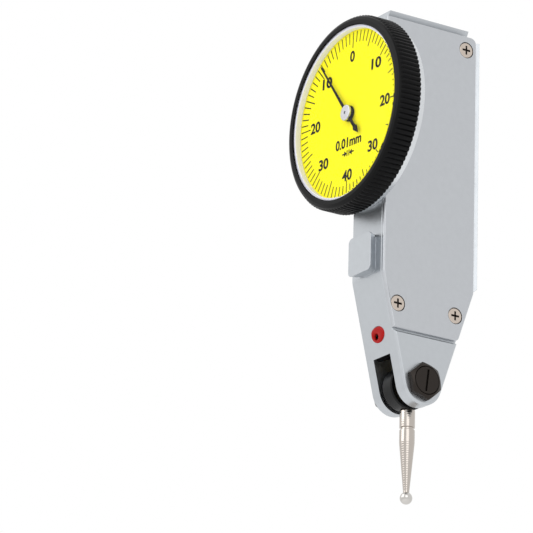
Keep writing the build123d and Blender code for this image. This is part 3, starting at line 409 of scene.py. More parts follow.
def turned(name: str, profile: np.ndarray, centre: tuple[float, float, float], axis: Turn, segments: int,
           closed: bool = True, swell: Callable[[np.ndarray], np.ndarray] | None = None) -> bpy.types.Object:
    """Turns a profile about an axis.

    Profile row s at angle a lies at centre + along(s) on the axis + (r(s) + rise(s) * swell(a)) on the
    unit radius at a. The profile's columns are r, along and, where swell is given, rise.

    Args:
        name: the object's name.
        profile: the rows of the profile.
        centre: a point on the axis, where along is 0.
        axis: the axis to turn about.
        segments: how many steps go round.
        closed: whether the profile's last point joins its first.
        swell: the share of the rise at each angle, for ridges.

    Returns:
        The new object.
    """
    angle = np.linspace(0.0, 2 * math.pi, segments, endpoint=False)
    radius = np.repeat(profile[:, :1], segments, axis=1)
    if swell is not None:
        radius = radius + profile[:, 2:3] * swell(angle)[None, :]
    along = np.repeat(profile[:, 1:2], segments, axis=1)
    first, second = radius * np.sin(angle), radius * np.cos(angle)
    order = {Turn.X: (along, first, second), Turn.Y: (first, along, second), Turn.Z: (first, second, along)}
    points = np.stack(order[axis], axis=-1) + np.array(centre)
    return grid_object(name, points, closed, True)


def place(made: bpy.types.Object, body: Body, slot: str, finish: Finish, *replaced: str) -> bpy.types.Object:
    """Dresses a new piece, sets it on its body and hides the solids that it stands for.

    Args:
        made: the new piece.
        body: the body that it moves with.
        slot: the record's material slot; not used.
        finish: the finish it gets.
        replaced: the solids that it takes the place of.

    Returns:
        The same piece.
    """
    made.data.materials.clear()
    made.data.materials.append(finish.material())
    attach(made, body.value)
    if replaced:
        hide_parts(*replaced)
    LOG.info("%s: %d faces on %s", made.name, len(made.data.polygons), body.value)
    return made


def soften(made: bpy.types.Object, width_mm: float, sharp_degrees: float) -> None:
    """Breaks a piece's sharp edges with a fine live bevel.

    Args:
        made: the piece.
        width_mm: the width of the broken edge.
        sharp_degrees: edges that turn more than this are broken.
    """
    bevel = made.modifiers.new("broken edge", "BEVEL")
    bevel.width = width_mm * MM
    bevel.segments = 2
    bevel.limit_method = "ANGLE"
    bevel.angle_limit = math.radians(sharp_degrees)
    bevel.use_clamp_overlap = False
    bevel.harden_normals = True


def carve(made: bpy.types.Object, tool: bpy.types.Object) -> None:
    """Cuts a tool's shape out of a piece and takes the tool away.

    Args:
        made: the piece.
        tool: the closed shape that is cut out.
    """
    cut = made.modifiers.new("cut", "BOOLEAN")
    cut.object = tool
    cut.operation = "DIFFERENCE"
    cut.solver = "EXACT"
    bpy.context.view_layer.update()
    mesh = bpy.data.meshes.new_from_object(made.evaluated_get(bpy.context.evaluated_depsgraph_get()))
    made.modifiers.clear()
    made.data = mesh
    bpy.data.objects.remove(tool)


def dress_faces(made: bpy.types.Object, finish: Finish, chosen: np.ndarray) -> None:
    """Gives some faces of a placed piece a second finish.

    Args:
        made: the piece, already dressed.
        finish: the second finish.
        chosen: one flag for each face.
    """
    made.data.materials.append(finish.material())
    index = np.where(chosen, len(made.data.materials) - 1, 0)
    made.data.polygons.foreach_set("material_index", index.astype(np.int32))


def face_table(made: bpy.types.Object) -> tuple[np.ndarray, np.ndarray]:
    """The centre in millimetres and the outward direction of each face, one row for each."""
    count = len(made.data.polygons)
    centres, normals = np.empty(count * 3), np.empty(count * 3)
    made.data.polygons.foreach_get("center", centres)
    made.data.polygons.foreach_get("normal", normals)
    return centres.reshape(-1, 3) / MM, normals.reshape(-1, 3)


@dataclass
class Places:
    """Where the solids are, in millimetres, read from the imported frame."""

    nodes: dict[str, bpy.types.Object]
    dial: tuple[float, float] = (0.0, 0.0)
    case_front: float = 0.0
    pivot: tuple[float, float, float] = (0.0, 0.0, 0.0)

    @classmethod
    def read(cls, frame: dict[str, Any]) -> "Places":
        """Reads where the dial's and the stylus's joint axes lie, and keeps the frame's nodes.

        Returns:
            The places.
        """
        joints = {j["name"]: j for j in frame["joints"]}
        dial = [c / MM for c in joints["bezel_turn"]["pos_m"]]
        pivot = [c / MM for c in joints["stylus_swivel"]["pos_m"]]
        return cls(frame["nodes"], (dial[0], dial[2]), dial[1], (pivot[0], pivot[1], pivot[2]))

    def box(self, node: str) -> tuple[np.ndarray, np.ndarray]:
        """The low and high corners of a solid, in millimetres."""
        low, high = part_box(node)
        return np.array(low) / MM, np.array(high) / MM

    def refined(self, node: str, bevel_mm: float, sharp_degrees: float) -> bpy.types.Object:
        """Copies a solid, joins its flat faces and breaks its edges with a fine live bevel.

        Args:
            node: the solid's name.
            bevel_mm: the width of the broken edge, or 0 for none.
            sharp_degrees: edges that turn more than this are broken.

        Returns:
            The copy.
        """
        mesh = self.nodes[node].data.copy()
        mesh.name = "fine_" + node
        if mesh.attributes.get("custom_normal"):
            mesh.attributes.remove(mesh.attributes["custom_normal"])
        work = bmesh.new()
        work.from_mesh(mesh)
        bmesh.ops.remove_doubles(work, verts=work.verts, dist=WELD_MM * MM)
        bmesh.ops.dissolve_limit(work, angle_limit=math.radians(0.4), verts=work.verts, edges=work.edges)
        work.to_mesh(mesh)
        work.free()
        mesh.polygons.foreach_set("use_smooth", np.ones(len(mesh.polygons), bool))
        mesh.set_sharp_from_angle(angle=math.radians(sharp_degrees))
        made = link("fine_" + node, mesh)
        if bevel_mm > 0:
            soften(made, bevel_mm, sharp_degrees)
        return made


@dataclass
class Bezel:
    """The turning group: knurled ring, crystal and bright spacer."""

    places: Places
    ridge_count: int = 120
    steps_per_ridge: int = 8
    ridge_height: float = 0.28
    ridge_front: float = 4.6
    lip_reach: float = 0.25
    shoulder_depth: float = 0.4
    ridge_end: float = 0.35
    rear_inset: float = 0.2
    rear_share: float = 0.75
    rear_rise: float = 0.15
    ridge_power: float = 0.45
    shoulder_in: float = 0.14
    lip_round: float = 0.12
    rim_width: float = 0.75
    crystal_gap: float = 0.05
    ledge_width: float = 1.05
    spacer_wall: float = 0.4
    crystal_bevel: float = 0.15
    round_segments: int = 192

    def ridges(self, angle: np.ndarray) -> np.ndarray:
        """The share of full height at each angle: ((1 + cos(n a)) / 2) to a low power, a rounded bar."""
        return (0.5 + 0.5 * np.cos(self.ridge_count * angle)) ** self.ridge_power

    def build(self) -> None:
        """Builds and places the ring, the crystal and the spacer."""
        x, z = self.places.dial
        front_y = self.places.case_front
        low, high = self.places.box("bezel_ring")
        outer = (high[0] - low[0]) / 2
        front, rear = low[1] - front_y, high[1] - front_y
        crystal_low, crystal_high = self.places.box("crystal")
        _, dial_high = self.places.box("dial_plate")
        opening = (crystal_high[0] - crystal_low[0]) / 2 - self.lip_reach + self.crystal_gap
        ledge_y = dial_high[1] - front_y
        ledge_bore = opening - self.ledge_width
        root = outer - self.ridge_height
        rim = opening + self.rim_width
        ridge_front = -self.ridge_front
        full = self.ridge_height
        corners = [
            (ledge_bore, rear, 0.0, 0.0),
            (root - self.rear_inset, rear, 0.0, 0.05),
            (root, rear, self.rear_share * full, 0.03),
            (root, rear - self.rear_rise, full, 0.05),
            (root, ridge_front, full, 0.25),
            (root, ridge_front - self.ridge_end, 0.0, 0.1),
            (root, front + self.shoulder_depth, 0.0, 0.1),
            (root - self.shoulder_in, front + self.shoulder_depth / 2, 0.0, 0.2),
            (rim, front, 0.0, 0.2),
            (opening, front, 0.0, self.lip_round),
            (opening, ledge_y, 0.0, 0.0),
            (ledge_bore, ledge_y, 0.0, 0.0),
        ]
        profile = rounded(corners)
        ring = turned("knurled_bezel", profile, (x, front_y, z), Turn.Y,
                      self.ridge_count * self.steps_per_ridge, swell=self.ridges)
        place(ring, Body.BEZEL, "black_plastic", BEZEL_PLASTIC, "bezel_ring")
        self.add_crystal(crystal_low, crystal_high)
        self.add_spacer()

    def add_crystal(self, low: np.ndarray, high: np.ndarray) -> None:
        """Builds the clear disc with a bevelled, softly rounded edge.

        Args:
            low: low corner of the solid's box.
            high: high corner of the solid's box.
        """
        x, z = self.places.dial
        radius = (high[0] - low[0]) / 2 - self.lip_reach
        edge = self.crystal_bevel
        corners = [(0.0, high[1], 0.0), (radius, high[1], 0.05), (radius, low[1] + edge, 0.08),
                   (radius - edge, low[1], 0.08), (0.0, low[1], 0.0)]
        profile = rounded(corners, closed=False)
        made = turned("clear_crystal", profile, (x, 0.0, z), Turn.Y, self.round_segments, closed=False)
        place(made, Body.BEZEL, "clear_crystal", CLEAR_ACRYLIC, "crystal")

    def add_spacer(self) -> None:
        """Builds the bright ring between crystal and dial, with rolled inner edges."""
        x, z = self.places.dial
        low, high = self.places.box("crystal_spacer")
        outer = (high[0] - low[0]) / 2 - self.lip_reach
        inner = outer - self.spacer_wall
        roll = self.lip_round
        corners = [(inner, low[1], roll), (outer, low[1], 0.0), (outer, high[1], 0.0), (inner, high[1], roll)]
        profile = rounded(corners)
        made = turned("bright_spacer", profile, (x, 0.0, z), Turn.Y, self.round_segments)
        place(made, Body.BEZEL, "spacer_nickel", SILVER_SPACER, "crystal_spacer")


@dataclass
class Label:
    """One piece of generic dial text, with its place from the dial's centre."""

    text: str
    across: float
    up: float
    height: float
    wide: float


@dataclass
class Dial:
    """The dial plate and its print: divisions, plain numbers and the unit of one division."""

    places: Places
    divisions: int = 80
    tick_outer: float = 13.7
    tick_inner: float = 11.85
    long_tick_inner: float = 11.05
    tick_width: float = 0.17
    long_every: int = 5
    print_turn_degrees: float = 2.8
    numeral_height: float = 1.78
    digit_width: float = 1.27
    digit_pitch: float = 1.4
    numeral_radius: float = 9.65
    lowest_radius: float = 10.2
    unit_down: float = 4.66
    unit_height: float = 1.65
    unit_width: float = 7.1
    boldness: float = 0.04
    mark_down: float = 6.5
    mark_half_height: float = 0.5
    mark_bar: float = 0.2
    mark_line: float = 0.11
    mark_bar_at: float = 0.26
    mark_tip: float = 0.36
    mark_neck: float = 1.05
    mark_tail: float = 1.6
    bore: float = 1.0
    cap_share: float = 0.73
    round_segments: int = 192
    face_y: float = 0.0
    labels: list[Label] = field(default_factory=list)

    def build(self) -> None:
        """Builds and places the plate, the divisions, the numbers and the centre mark."""
        x, z = self.places.dial
        low, high = self.places.box("dial_plate")
        radius = (high[0] - low[0]) / 2
        corners = [(self.bore, high[1], 0.0), (radius, high[1], 0.05), (radius, low[1], 0.05),
                   (self.bore, low[1], 0.04)]
        profile = rounded(corners)
        plate = turned("enamelled_dial", profile, (x, 0.0, z), Turn.Y, self.round_segments)
        place(plate, Body.BEZEL, "yellow_dial", YELLOW_ENAMEL, "dial_plate")
        self.face_y = low[1] - PRINT_STAND_MM
        self.add_ticks()
        self.set_labels()
        for i, label in enumerate(self.labels):
            self.add_label(label, i)
        self.add_centre_mark()

    def add_ticks(self) -> None:
        """Builds all divisions as thin quads: corner = r (sin a, cos a) -+ half width (cos a, -sin a)."""
        number = np.arange(self.divisions)
        angle = 2 * math.pi * number / self.divisions
        inner = np.where(number % self.long_every == 0, self.long_tick_inner, self.tick_inner)
        outward = np.stack([np.sin(angle), np.cos(angle)], axis=-1)
        sideways = np.stack([np.cos(angle), -np.sin(angle)], axis=-1) * self.tick_width / 2
        near, far = outward * inner[:, None], outward * self.tick_outer
        corners = np.stack([near - sideways, near + sideways, far + sideways, far - sideways], axis=1)
        self.add_flat("dial_divisions", corners)

    def on_dial(self, flat: np.ndarray) -> np.ndarray:
        """Lays printed points on the dial's face, in metres.

        The print is turned clockwise by t: (a, b) becomes (a cos t + b sin t, b cos t - a sin t).

        Args:
            flat: points from the dial's centre, across and up, in millimetres.

        Returns:
            One row of three for each point.
        """
        x, z = self.places.dial
        turn = math.radians(self.print_turn_degrees)
        across = flat[:, 0] * math.cos(turn) + flat[:, 1] * math.sin(turn) + x
        up = flat[:, 1] * math.cos(turn) - flat[:, 0] * math.sin(turn) + z
        return np.stack([across, np.full_like(across, self.face_y), up], axis=-1) * MM

    def add_flat(self, name: str, quads: np.ndarray) -> None:
        """Builds flat printed quads on the dial.

        Args:
            name: the piece's name.
            quads: count by 4 by 2 corners from the dial's centre, across and up.
        """
        points = self.on_dial(quads.reshape(-1, 2))
        faces = np.arange(len(points)).reshape(-1, 4)
        mesh = bpy.data.meshes.new(name)
        mesh.from_pydata(points.tolist(), [], faces.tolist())
        turn_to_viewer(mesh)
        place(link(name, mesh), Body.BEZEL, "black_hand", PRINT_INK)

    def set_labels(self) -> None:
        """Lists the numbers: 0 at the top, tens down both sides each eighth of a turn, 40 below."""
        for i in range(8):
            angle = 2 * math.pi * i / 8
            value = 10 * min(i, 8 - i)
            radius = self.lowest_radius if i == 4 else self.numeral_radius
            wide = self.digit_width + self.digit_pitch * (len(str(value)) - 1)
            self.labels.append(Label(str(value), radius * math.sin(angle), radius * math.cos(angle),
                                     self.numeral_height, wide))
        self.labels.append(Label("0.01mm", 0.0, -self.unit_down, self.unit_height, self.unit_width))

    def add_label(self, label: Label, number: int) -> None:
        """Builds one label as flat mesh on the dial, centred on its place.

        Args:
            label: the text and its place.
            number: its number in the piece's name.
        """
        curve = bpy.data.curves.new("label", "FONT")
        curve.body = label.text
        curve.size = label.height / self.cap_share
        curve.offset = self.boldness * label.height
        holder = link_curve(curve)
        mesh = bpy.data.meshes.new_from_object(holder.evaluated_get(bpy.context.evaluated_depsgraph_get()))
        bpy.data.objects.remove(holder)
        points = np.array([v.co for v in mesh.vertices], float)
        points[:, 0] *= label.wide / np.ptp(points[:, 0])
        middle = (points.min(0) + points.max(0)) / 2
        flat = points[:, :2] - middle[:2] + np.array([label.across, label.up])
        mesh.vertices.foreach_set("co", self.on_dial(flat).ravel())
        turn_to_viewer(mesh)
        place(link(f"dial_number_{number}", mesh), Body.BEZEL, "black_hand", PRINT_INK)

    def add_centre_mark(self) -> None:
        """Builds the small mark of two bars with an arrow towards each, as plain quads."""
        half, bar, line = self.mark_half_height, self.mark_bar, self.mark_line
        quads = []
        for side in (-1, 1):
            edge = side * self.mark_bar_at
            quads.append([(edge - bar / 2, -half), (edge + bar / 2, -half), (edge + bar / 2, half),
                          (edge - bar / 2, half)])
            tip, neck, tail = side * self.mark_tip, side * self.mark_neck, side * self.mark_tail
            quads.append([(tip, 0.0), (neck, -half), (neck, 0.0), (neck, half)])
            quads.append([(neck, -line), (tail, -line), (tail, line), (neck, line)])
        corners = np.array(quads, float)
        corners[..., 1] -= self.mark_down
        self.add_flat("dial_centre_mark", corners)


def link_curve(curve: bpy.types.Curve) -> bpy.types.Object:
    """Puts a text curve into the scene so that it can be made a mesh."""
    holder = bpy.data.objects.new("holder", curve)
    bpy.context.scene.collection.objects.link(holder)
    bpy.context.view_layer.update()
    return holder


def turn_to_viewer(mesh: bpy.types.Mesh) -> None:
    """Turns every face of a flat print towards -Y, out of the dial."""
    work = bmesh.new()
    work.from_mesh(mesh)
    work.normal_update()
    wrong = [f for f in work.faces if f.normal.y > 0]
    bmesh.ops.reverse_faces(work, faces=wrong)
    work.to_mesh(mesh)
    work.free()


@dataclass
class Pointer:
    """The black hand and its bright hub cap. The boss keeps its solid."""

    places: Places
    hand_degrees: float = 37.0
    hand_swell: float = 1.35
    swell_from: float = 1.2
    tail_swell_to: float = 2.9
    round_radius: float = 0.16
    dimple_radius: float = 0.24
    dimple_depth: float = 0.2
    round_segments: int = 64

    def build(self) -> None:
        """Builds the cap as a turned profile with a rounded shoulder and a centre dimple, and the hand."""
        x, z = self.places.dial
        low, high = self.places.box("pointer_hub")
        radius = (high[0] - low[0]) / 2
        corners = [(0.0, high[1], 0.0), (radius, high[1], 0.03), (radius, low[1], self.round_radius),
                   (self.dimple_radius, low[1], 0.05), (0.0, low[1] + self.dimple_depth, 0.0)]
        profile = rounded(corners, closed=False)
        made = turned("hub_cap", profile, (x, 0.0, z), Turn.Y, self.round_segments, closed=False)
        place(made, Body.POINTER, "bright_hub", TURNED_ALUMINIUM, "pointer_hub")
        # Painted shade: the faces inside the dimple get the near-black recess finish
        centres, _ = face_table(made)
        off = np.hypot(centres[:, 0] - x, centres[:, 2] - z)
        dimple = (off < self.dimple_radius) & (centres[:, 1] < low[1] + self.dimple_depth)
        dress_faces(made, RECESS_PAINTED_SHADE, dimple)
        self.add_hand()

    def add_hand(self) -> None:
        """Builds the hand from its solid, with blade and tail a little fuller.

        The distance across the hand grows by the swell where the distance from the centre is past
        swell_from, and on the tail only up to tail_swell_to, so that its spade keeps its outline.
        """
        x, z = self.places.dial
        made = self.places.refined("pointer_hand", 0.0, 30.0)
        count = len(made.data.vertices)
        points = np.empty(count * 3)
        made.data.vertices.foreach_get("co", points)
        points = points.reshape(-1, 3) / MM
        turn = math.radians(self.hand_degrees)
        side = np.array([math.cos(turn), math.sin(turn)])
        flat = points[:, [0, 2]] - np.array([x, z])
        across = flat @ side
        off = np.hypot(flat[:, 0], flat[:, 1])
        ahead = flat @ np.array([-math.sin(turn), math.cos(turn)]) > 0
        past = (off > self.swell_from) & (ahead | (off < self.tail_swell_to))
        flat = flat + np.where(past, (self.hand_swell - 1) * across, 0.0)[:, None] * side
        points[:, 0], points[:, 2] = flat[:, 0] + x, flat[:, 1] + z
        made.data.vertices.foreach_set("co", (points * MM).ravel())
        made.data.update()
        place(made, Body.POINTER, "black_hand", HAND_LACQUER, "pointer_hand")


@dataclass
class Case:
    """The casting, its cover and screws, the dial seat and the red lacquer."""

    places: Places
    casting_bevel: float = 0.05
    screw_bevel: float = 0.03
    sharp_degrees: float = 25.0
    slot_clearance: float = 0.6
    slot_reach: float = 12.0
    slot_skin: float = 0.4
    recess_skin: float = 0.06
    recess_depth: float = 0.24
    seat_rim_inset: float = 0.35
    seat_rim_stand: float = 1.15
    seat_boss_radius: float = 13.25
    seat_well_width: float = 1.6
    seat_well_slope: float = 0.4
    seat_well_depth: float = 0.7
    slope_degrees: float = 13.54
    seal_half_width: float = 1.75
    seal_half_height: float = 1.3
    seal_hole: tuple[float, float] = (-0.53, -0.27)
    seal_hole_radius: float = 0.5
    seal_bulge: float = 0.16
    seal_fullness: float = 0.6
    seal_sink: float = 0.25
    seal_edge_sink: float = 0.02
    seal_stand: float = 0.17
    seal_rays: int = 72
    seal_rings: int = 15
    wall_cosine: float = 0.9
    flat_cosine: float = 0.999
    seat_bore: float = 1.0
    round_segments: int = 192

    def build(self) -> None:
        """Builds and places each piece of the case that shows."""
        casting = self.places.refined("case_body", self.casting_bevel, self.sharp_degrees)
        place(casting, Body.CASE, "satin_chrome", SATIN_CHROME, "case_body")
        # Painted shade: the slot's inner walls get a near-black finish
        dress_faces(casting, SLOT_PAINTED_SHADE, self.slot_faces(casting))
        cover = self.places.refined("side_cover", self.casting_bevel, self.sharp_degrees)
        place(cover, Body.CASE, "satin_chrome_cover", SATIN_COVER, "side_cover")
        screws = self.places.refined("cover_screws", self.screw_bevel, self.sharp_degrees)
        place(screws, Body.CASE, "nickel_screw", BRIGHT_NICKEL, "cover_screws")
        # Painted shade: the faces inside the driver recesses get a near-black finish
        dress_faces(screws, RECESS_PAINTED_SHADE, self.recess_faces(screws))
        self.add_seat()
        self.add_seal()

    def slot_faces(self, casting: bpy.types.Object) -> np.ndarray:
        """Flags the faces inside the fork slot that get painted shade: between the drum's two sides and off
        the outline.
        """
        centres, normals = face_table(casting)
        low, high = self.places.box("stylus_holder")
        reach = self.slot_clearance
        between = (centres[:, 0] > low[0] - reach) & (centres[:, 0] < high[0] + reach)
        below = centres[:, 2] < self.places.pivot[2] + self.slot_reach
        depth = centres[:, 1] - self.places.case_front
        inside = (depth > self.slot_skin) & (depth < -self.places.case_front - self.slot_skin)
        walls = (np.abs(normals[:, 0]) > self.wall_cosine) | (normals[:, 2] < -self.wall_cosine)
        walls |= np.abs(normals[:, 1]) > self.flat_cosine
        return between & below & inside & walls

    def recess_faces(self, screws: bpy.types.Object) -> np.ndarray:
        """Flags the faces of the cover screws that lie below the heads' faces, which get painted shade."""
        centres, _ = face_table(screws)
        top = centres[:, 0].max()
        return (centres[:, 0] < top - self.recess_skin) & (centres[:, 0] > top - self.recess_depth)

    def add_seat(self) -> None:
        """Builds the round seat behind the bezel, with a softly rounded rim."""
        x, z = self.places.dial
        front_y = self.places.case_front
        low, high = self.places.box("dial_seat")
        radius = (high[0] - low[0]) / 2 - self.seat_rim_inset
        boss = self.seat_boss_radius
        rim_y = front_y - self.seat_rim_stand
        well_edge = boss - self.seat_well_width
        well_y = low[1] + self.seat_well_depth
        corners = [(self.seat_bore, high[1], 0.0), (radius, high[1], 0.1), (radius, rim_y, 0.12),
                   (boss, rim_y, 0.0), (boss, low[1], 0.1), (well_edge, low[1], 0.1),
                   (well_edge - self.seat_well_slope, well_y, 0.1), (self.seat_bore, well_y, 0.0)]
        profile = rounded(corners)
        made = turned("plated_seat", profile, (x, 0.0, z), Turn.Y, self.round_segments)
        place(made, Body.CASE, "seat_nickel", PLATED_SEAT, "dial_seat")

    def add_seal(self) -> None:
        """Builds the lacquer as a low dome round a hole.

        At share s from the hole's edge to the wavy outer edge, the point is hole(a) (1-s) + outer(a) s,
        raised by bulge * sin(pi s) ^ fullness and sunk at both edges. The outer edge is an ellipse whose
        radius is multiplied by 1 + 0.035 sin(3a + 0.6) + 0.02 sin(5a + 2), which looks hand-dabbed.
        """
        low, high = self.places.box("sealing_lacquer")
        centre = (low + high) / 2
        lean = math.radians(self.slope_degrees)
        outward = np.array([0.0, -math.cos(lean), -math.sin(lean)])
        upward = np.array([0.0, -math.sin(lean), math.cos(lean)])
        rightward = np.array([1.0, 0.0, 0.0])
        angle = np.linspace(0.0, 2 * math.pi, self.seal_rays, endpoint=False)
        share = np.linspace(0.0, 1.0, self.seal_rings)
        wave = 1 + 0.035 * np.sin(3 * angle + 0.6) + 0.02 * np.sin(5 * angle + 2.0)
        outer = np.stack([self.seal_half_width * np.cos(angle), self.seal_half_height * np.sin(angle)], -1)
        outer = outer * wave[:, None]
        hole = np.stack([np.cos(angle), np.sin(angle)], -1) * self.seal_hole_radius + np.array(self.seal_hole)
        flat = hole[None] * (1 - share[:, None, None]) + outer[None] * share[:, None, None]
        rise = self.seal_bulge * np.abs(np.sin(math.pi * share)) ** self.seal_fullness
        rise[0] = -self.seal_sink
        rise[-1] = -self.seal_edge_sink
        points = (centre + flat[..., :1] * rightward + flat[..., 1:] * upward
                  + (rise[:, None, None] + self.seal_stand) * outward)
        made = grid_object("lacquer_drop", points, False, True, 60.0)
        place(made, Body.CASE, "red_lacquer", SEALING_LACQUER, "sealing_lacquer")


@dataclass
class PivotScrews:
    """The two hexagon bearing screws of the fork, each with a turned chamfer and a driver slot."""

    places: Places
    corner_radius: float = 3.1
    face_radius: float = 2.35
    chamfer_depth: float = 0.45
    groove_width: float = 0.16
    groove_depth: float = 0.12
    shank_radius: float = 1.8
    lean_degrees: float = -12.0
    slot_half_length: float = 1.8
    slot_half_width: float = 0.18
    slot_depth: float = 0.4
    slot_lean_degrees: float = 7.0
    slot_skin: float = 0.02
    slot_land: float = 0.2
    match_gap: float = 0.01
    groove_slope: float = 0.3
    edge_break: float = 0.06
    sharp_degrees: float = 25.0
    segments: int = 96

    def build(self) -> None:
        """Builds and places the right and the left screw."""
        half_width = self.places.box("side_cover")[1][0]
        for side, name in ((1.0, "pivot_screw_right"), (-1.0, "pivot_screw_left")):
            low, high = self.places.box(name)
            face, tip = (high[0], low[0]) if side > 0 else (low[0], high[0])
            made = self.head("fine_" + name, face, side * half_width, tip, side)
            carve(made, self.slot_tool(face, side))
            finish_mesh(made.data, self.sharp_degrees)
            soften(made, self.edge_break, self.sharp_degrees)
            place(made, Body.CASE, "black_steel", BLACK_OXIDE, name)
            # Painted shade: the faces inside the driver slot get a near-black finish
            dress_faces(made, RECESS_PAINTED_SHADE, self.slot_faces(made, face, side))

    def slot_faces(self, made: bpy.types.Object, face: float, side: float) -> np.ndarray:
        """Flags the faces inside the driver slot, which get painted shade.

        Args:
            made: the screw.
            face: where the outer face lies on X.
            side: 1 for the right screw, -1 for the left.

        Returns:
            One flag for each face.
        """
        centres, _ = face_table(made)
        _, y, z = self.places.pivot
        turn = math.radians(self.slot_lean_degrees)
        over, along = centres[:, 1] - y, centres[:, 2] - z
        across = over * math.cos(turn) - along * math.sin(turn)
        depth = side * (face - centres[:, 0])
        deep = (depth > self.slot_skin) & (depth < self.slot_depth + self.match_gap)
        inside = np.hypot(over, along) < self.face_radius - self.slot_land
        return (np.abs(across) < self.slot_half_width + self.match_gap) & deep & inside

    def head(self, name: str, face: float, seat: float, tip: float, side: float) -> bpy.types.Object:
        """Builds shank and head in one surface.

        The hexagon's radius at angle a is apothem / cos((a - lean) mod 60 - 30), in degrees, and its
        chamfer falls by chamfer depth * (radius - face radius) / (corner radius - face radius).

        Args:
            name: the object's name.
            face: where the outer face lies on X.
            seat: where the head sits on the case.
            tip: where the shank ends.
            side: 1 for the right screw, -1 for the left.

        Returns:
            The new object.
        """
        _, y, z = self.places.pivot
        angle = np.linspace(0.0, 360.0, self.segments, endpoint=False) + self.lean_degrees
        apothem = self.corner_radius * math.cos(math.radians(30.0))
        hexagon = apothem / np.cos(np.radians(np.mod(angle - self.lean_degrees, 60.0) - 30.0))
        fall = self.chamfer_depth * (hexagon - self.face_radius) / (self.corner_radius - self.face_radius)
        flat = np.ones_like(angle)
        shank, outer, inner = self.shank_radius, self.face_radius, self.face_radius - self.groove_width
        floor = face - side * self.groove_depth
        radius = np.stack([0 * flat, shank * flat, shank * flat, hexagon, hexagon, outer * flat,
                           (outer - self.groove_slope * self.groove_width) * flat, inner * flat, inner * flat,
                           0 * flat])
        along = np.stack([tip * flat, tip * flat, seat * flat, seat * flat, face - side * fall, face * flat,
                          floor * flat, floor * flat, face * flat, face * flat])
        turn = np.radians(angle)[None, :]
        points = np.stack([along, y + radius * np.sin(turn), z + radius * np.cos(turn)], axis=-1)
        return grid_object(name, points, False, True, self.sharp_degrees)

    def slot_tool(self, face: float, side: float) -> bpy.types.Object:
        """Builds the block that cuts the driver slot, turned by the slot's lean.

        Args:
            face: where the outer face lies on X.
            side: 1 for the right screw, -1 for the left.

        Returns:
            The block.
        """
        _, y, z = self.places.pivot
        turn = math.radians(self.slot_lean_degrees)
        share = np.array([(a, b, c) for a in (-1, 1) for b in (-1, 1) for c in (-1, 1)], float)
        across, along = share[:, 1] * self.slot_half_width, share[:, 2] * self.slot_half_length
        depth = face + side * share[:, 0] * self.slot_depth
        points = np.stack([depth, y + across * math.cos(turn) + along * math.sin(turn),
                           z - across * math.sin(turn) + along * math.cos(turn)], axis=-1)
        quads = [(0, 1, 3, 2), (4, 6, 7, 5), (0, 4, 5, 1), (2, 3, 7, 6), (0, 2, 6, 4), (1, 5, 7, 3)]
        mesh = bpy.data.meshes.new("slot_tool")
        mesh.from_pydata((points * MM).tolist(), [], quads)
        finish_mesh(mesh)
        return link("slot_tool", mesh)


@dataclass
class Stylus:
    """The dark drum, the turned contact point and the ball."""

    places: Places
    drum_bevel: float = 0.06
    sharp_degrees: float = 25.0
    root_radius: float = 0.7
    stem_radius: float = 1.23
    neck_radius: float = 0.5
    groove_down: float = 6.5
    groove_half: float = 0.2
    groove_depth: float = 0.2
    groove_slope: float = 0.05
    taper_down: float = 8.75
    taper_end: float = 0.25
    ball_steps: int = 33
    round_segments: int = 72

    def build(self) -> None:
        """Builds and places the three pieces."""
        made = self.places.refined("stylus_holder", self.drum_bevel, self.sharp_degrees)
        place(made, Body.STYLUS, "black_holder", BLACK_DRUM, "stylus_holder")
        self.add_point()
        self.add_ball()

    def add_point(self) -> None:
        """Builds the contact point as a turned profile: shank, ring groove and long taper."""
        low, high = self.places.box("contact_point")
        x, y = (low[0] + high[0]) / 2, (low[1] + high[1]) / 2
        pivot_z = self.places.pivot[2]
        top, tip = self.places.box("stylus_holder")[0][2], low[2]
        groove_top = pivot_z - self.groove_down + self.groove_half
        groove_low = pivot_z - self.groove_down - self.groove_half
        taper = pivot_z - self.taper_down
        inner, slope = self.stem_radius - self.groove_depth, self.groove_slope
        corners = [
            (0.0, high[2], 0.0),
            (self.root_radius, high[2], 0.05),
            (self.root_radius, top, 0.0),
            (self.stem_radius, top, 0.12),
            (self.stem_radius, groove_top, 0.06),
            (inner, groove_top - slope, 0.04),
            (inner, groove_low + slope, 0.04),
            (self.stem_radius, groove_low, 0.06),
            (self.stem_radius, taper, 0.6),
            (self.neck_radius, tip + self.taper_end, 0.2),
            (self.neck_radius, tip, 0.0),
            (0.0, tip, 0.0),
        ]
        profile = rounded(corners, closed=False)
        made = turned("turned_point", profile, (x, y, 0.0), Turn.Z, self.round_segments, closed=False)
        place(made, Body.STYLUS, "polished_stem", POLISHED_POINT, "contact_point")

    def add_ball(self) -> None:
        """Builds the ball: radius (sin b, cos b) turned about Z."""
        low, high = self.places.box("contact_ball")
        middle, radius = (low + high) / 2, (high[2] - low[2]) / 2
        b = np.linspace(0.0, math.pi, self.ball_steps)
        profile = np.stack([radius * np.sin(b), radius * np.cos(b)], -1)
        made = turned("lapped_ball", profile, tuple(middle), Turn.Z, self.round_segments, closed=False)
        place(made, Body.STYLUS, "polished_ball", LAPPED_BALL, "contact_ball")


@dataclass(frozen=True)
class Lamp:
    """One soft square lamp: the way to it from the part, how far, its side and its watts."""

    name: str
    direction: tuple[float, float, float]
    away: float
    size: float
    power: float


KEY_LAMP = Lamp("key", (-0.25, -0.95, 0.55), 0.55, 0.42, 0.9)
SIDE_LAMP = Lamp("side", (0.95, -0.45, 0.35), 0.6, 0.4, 0.55)


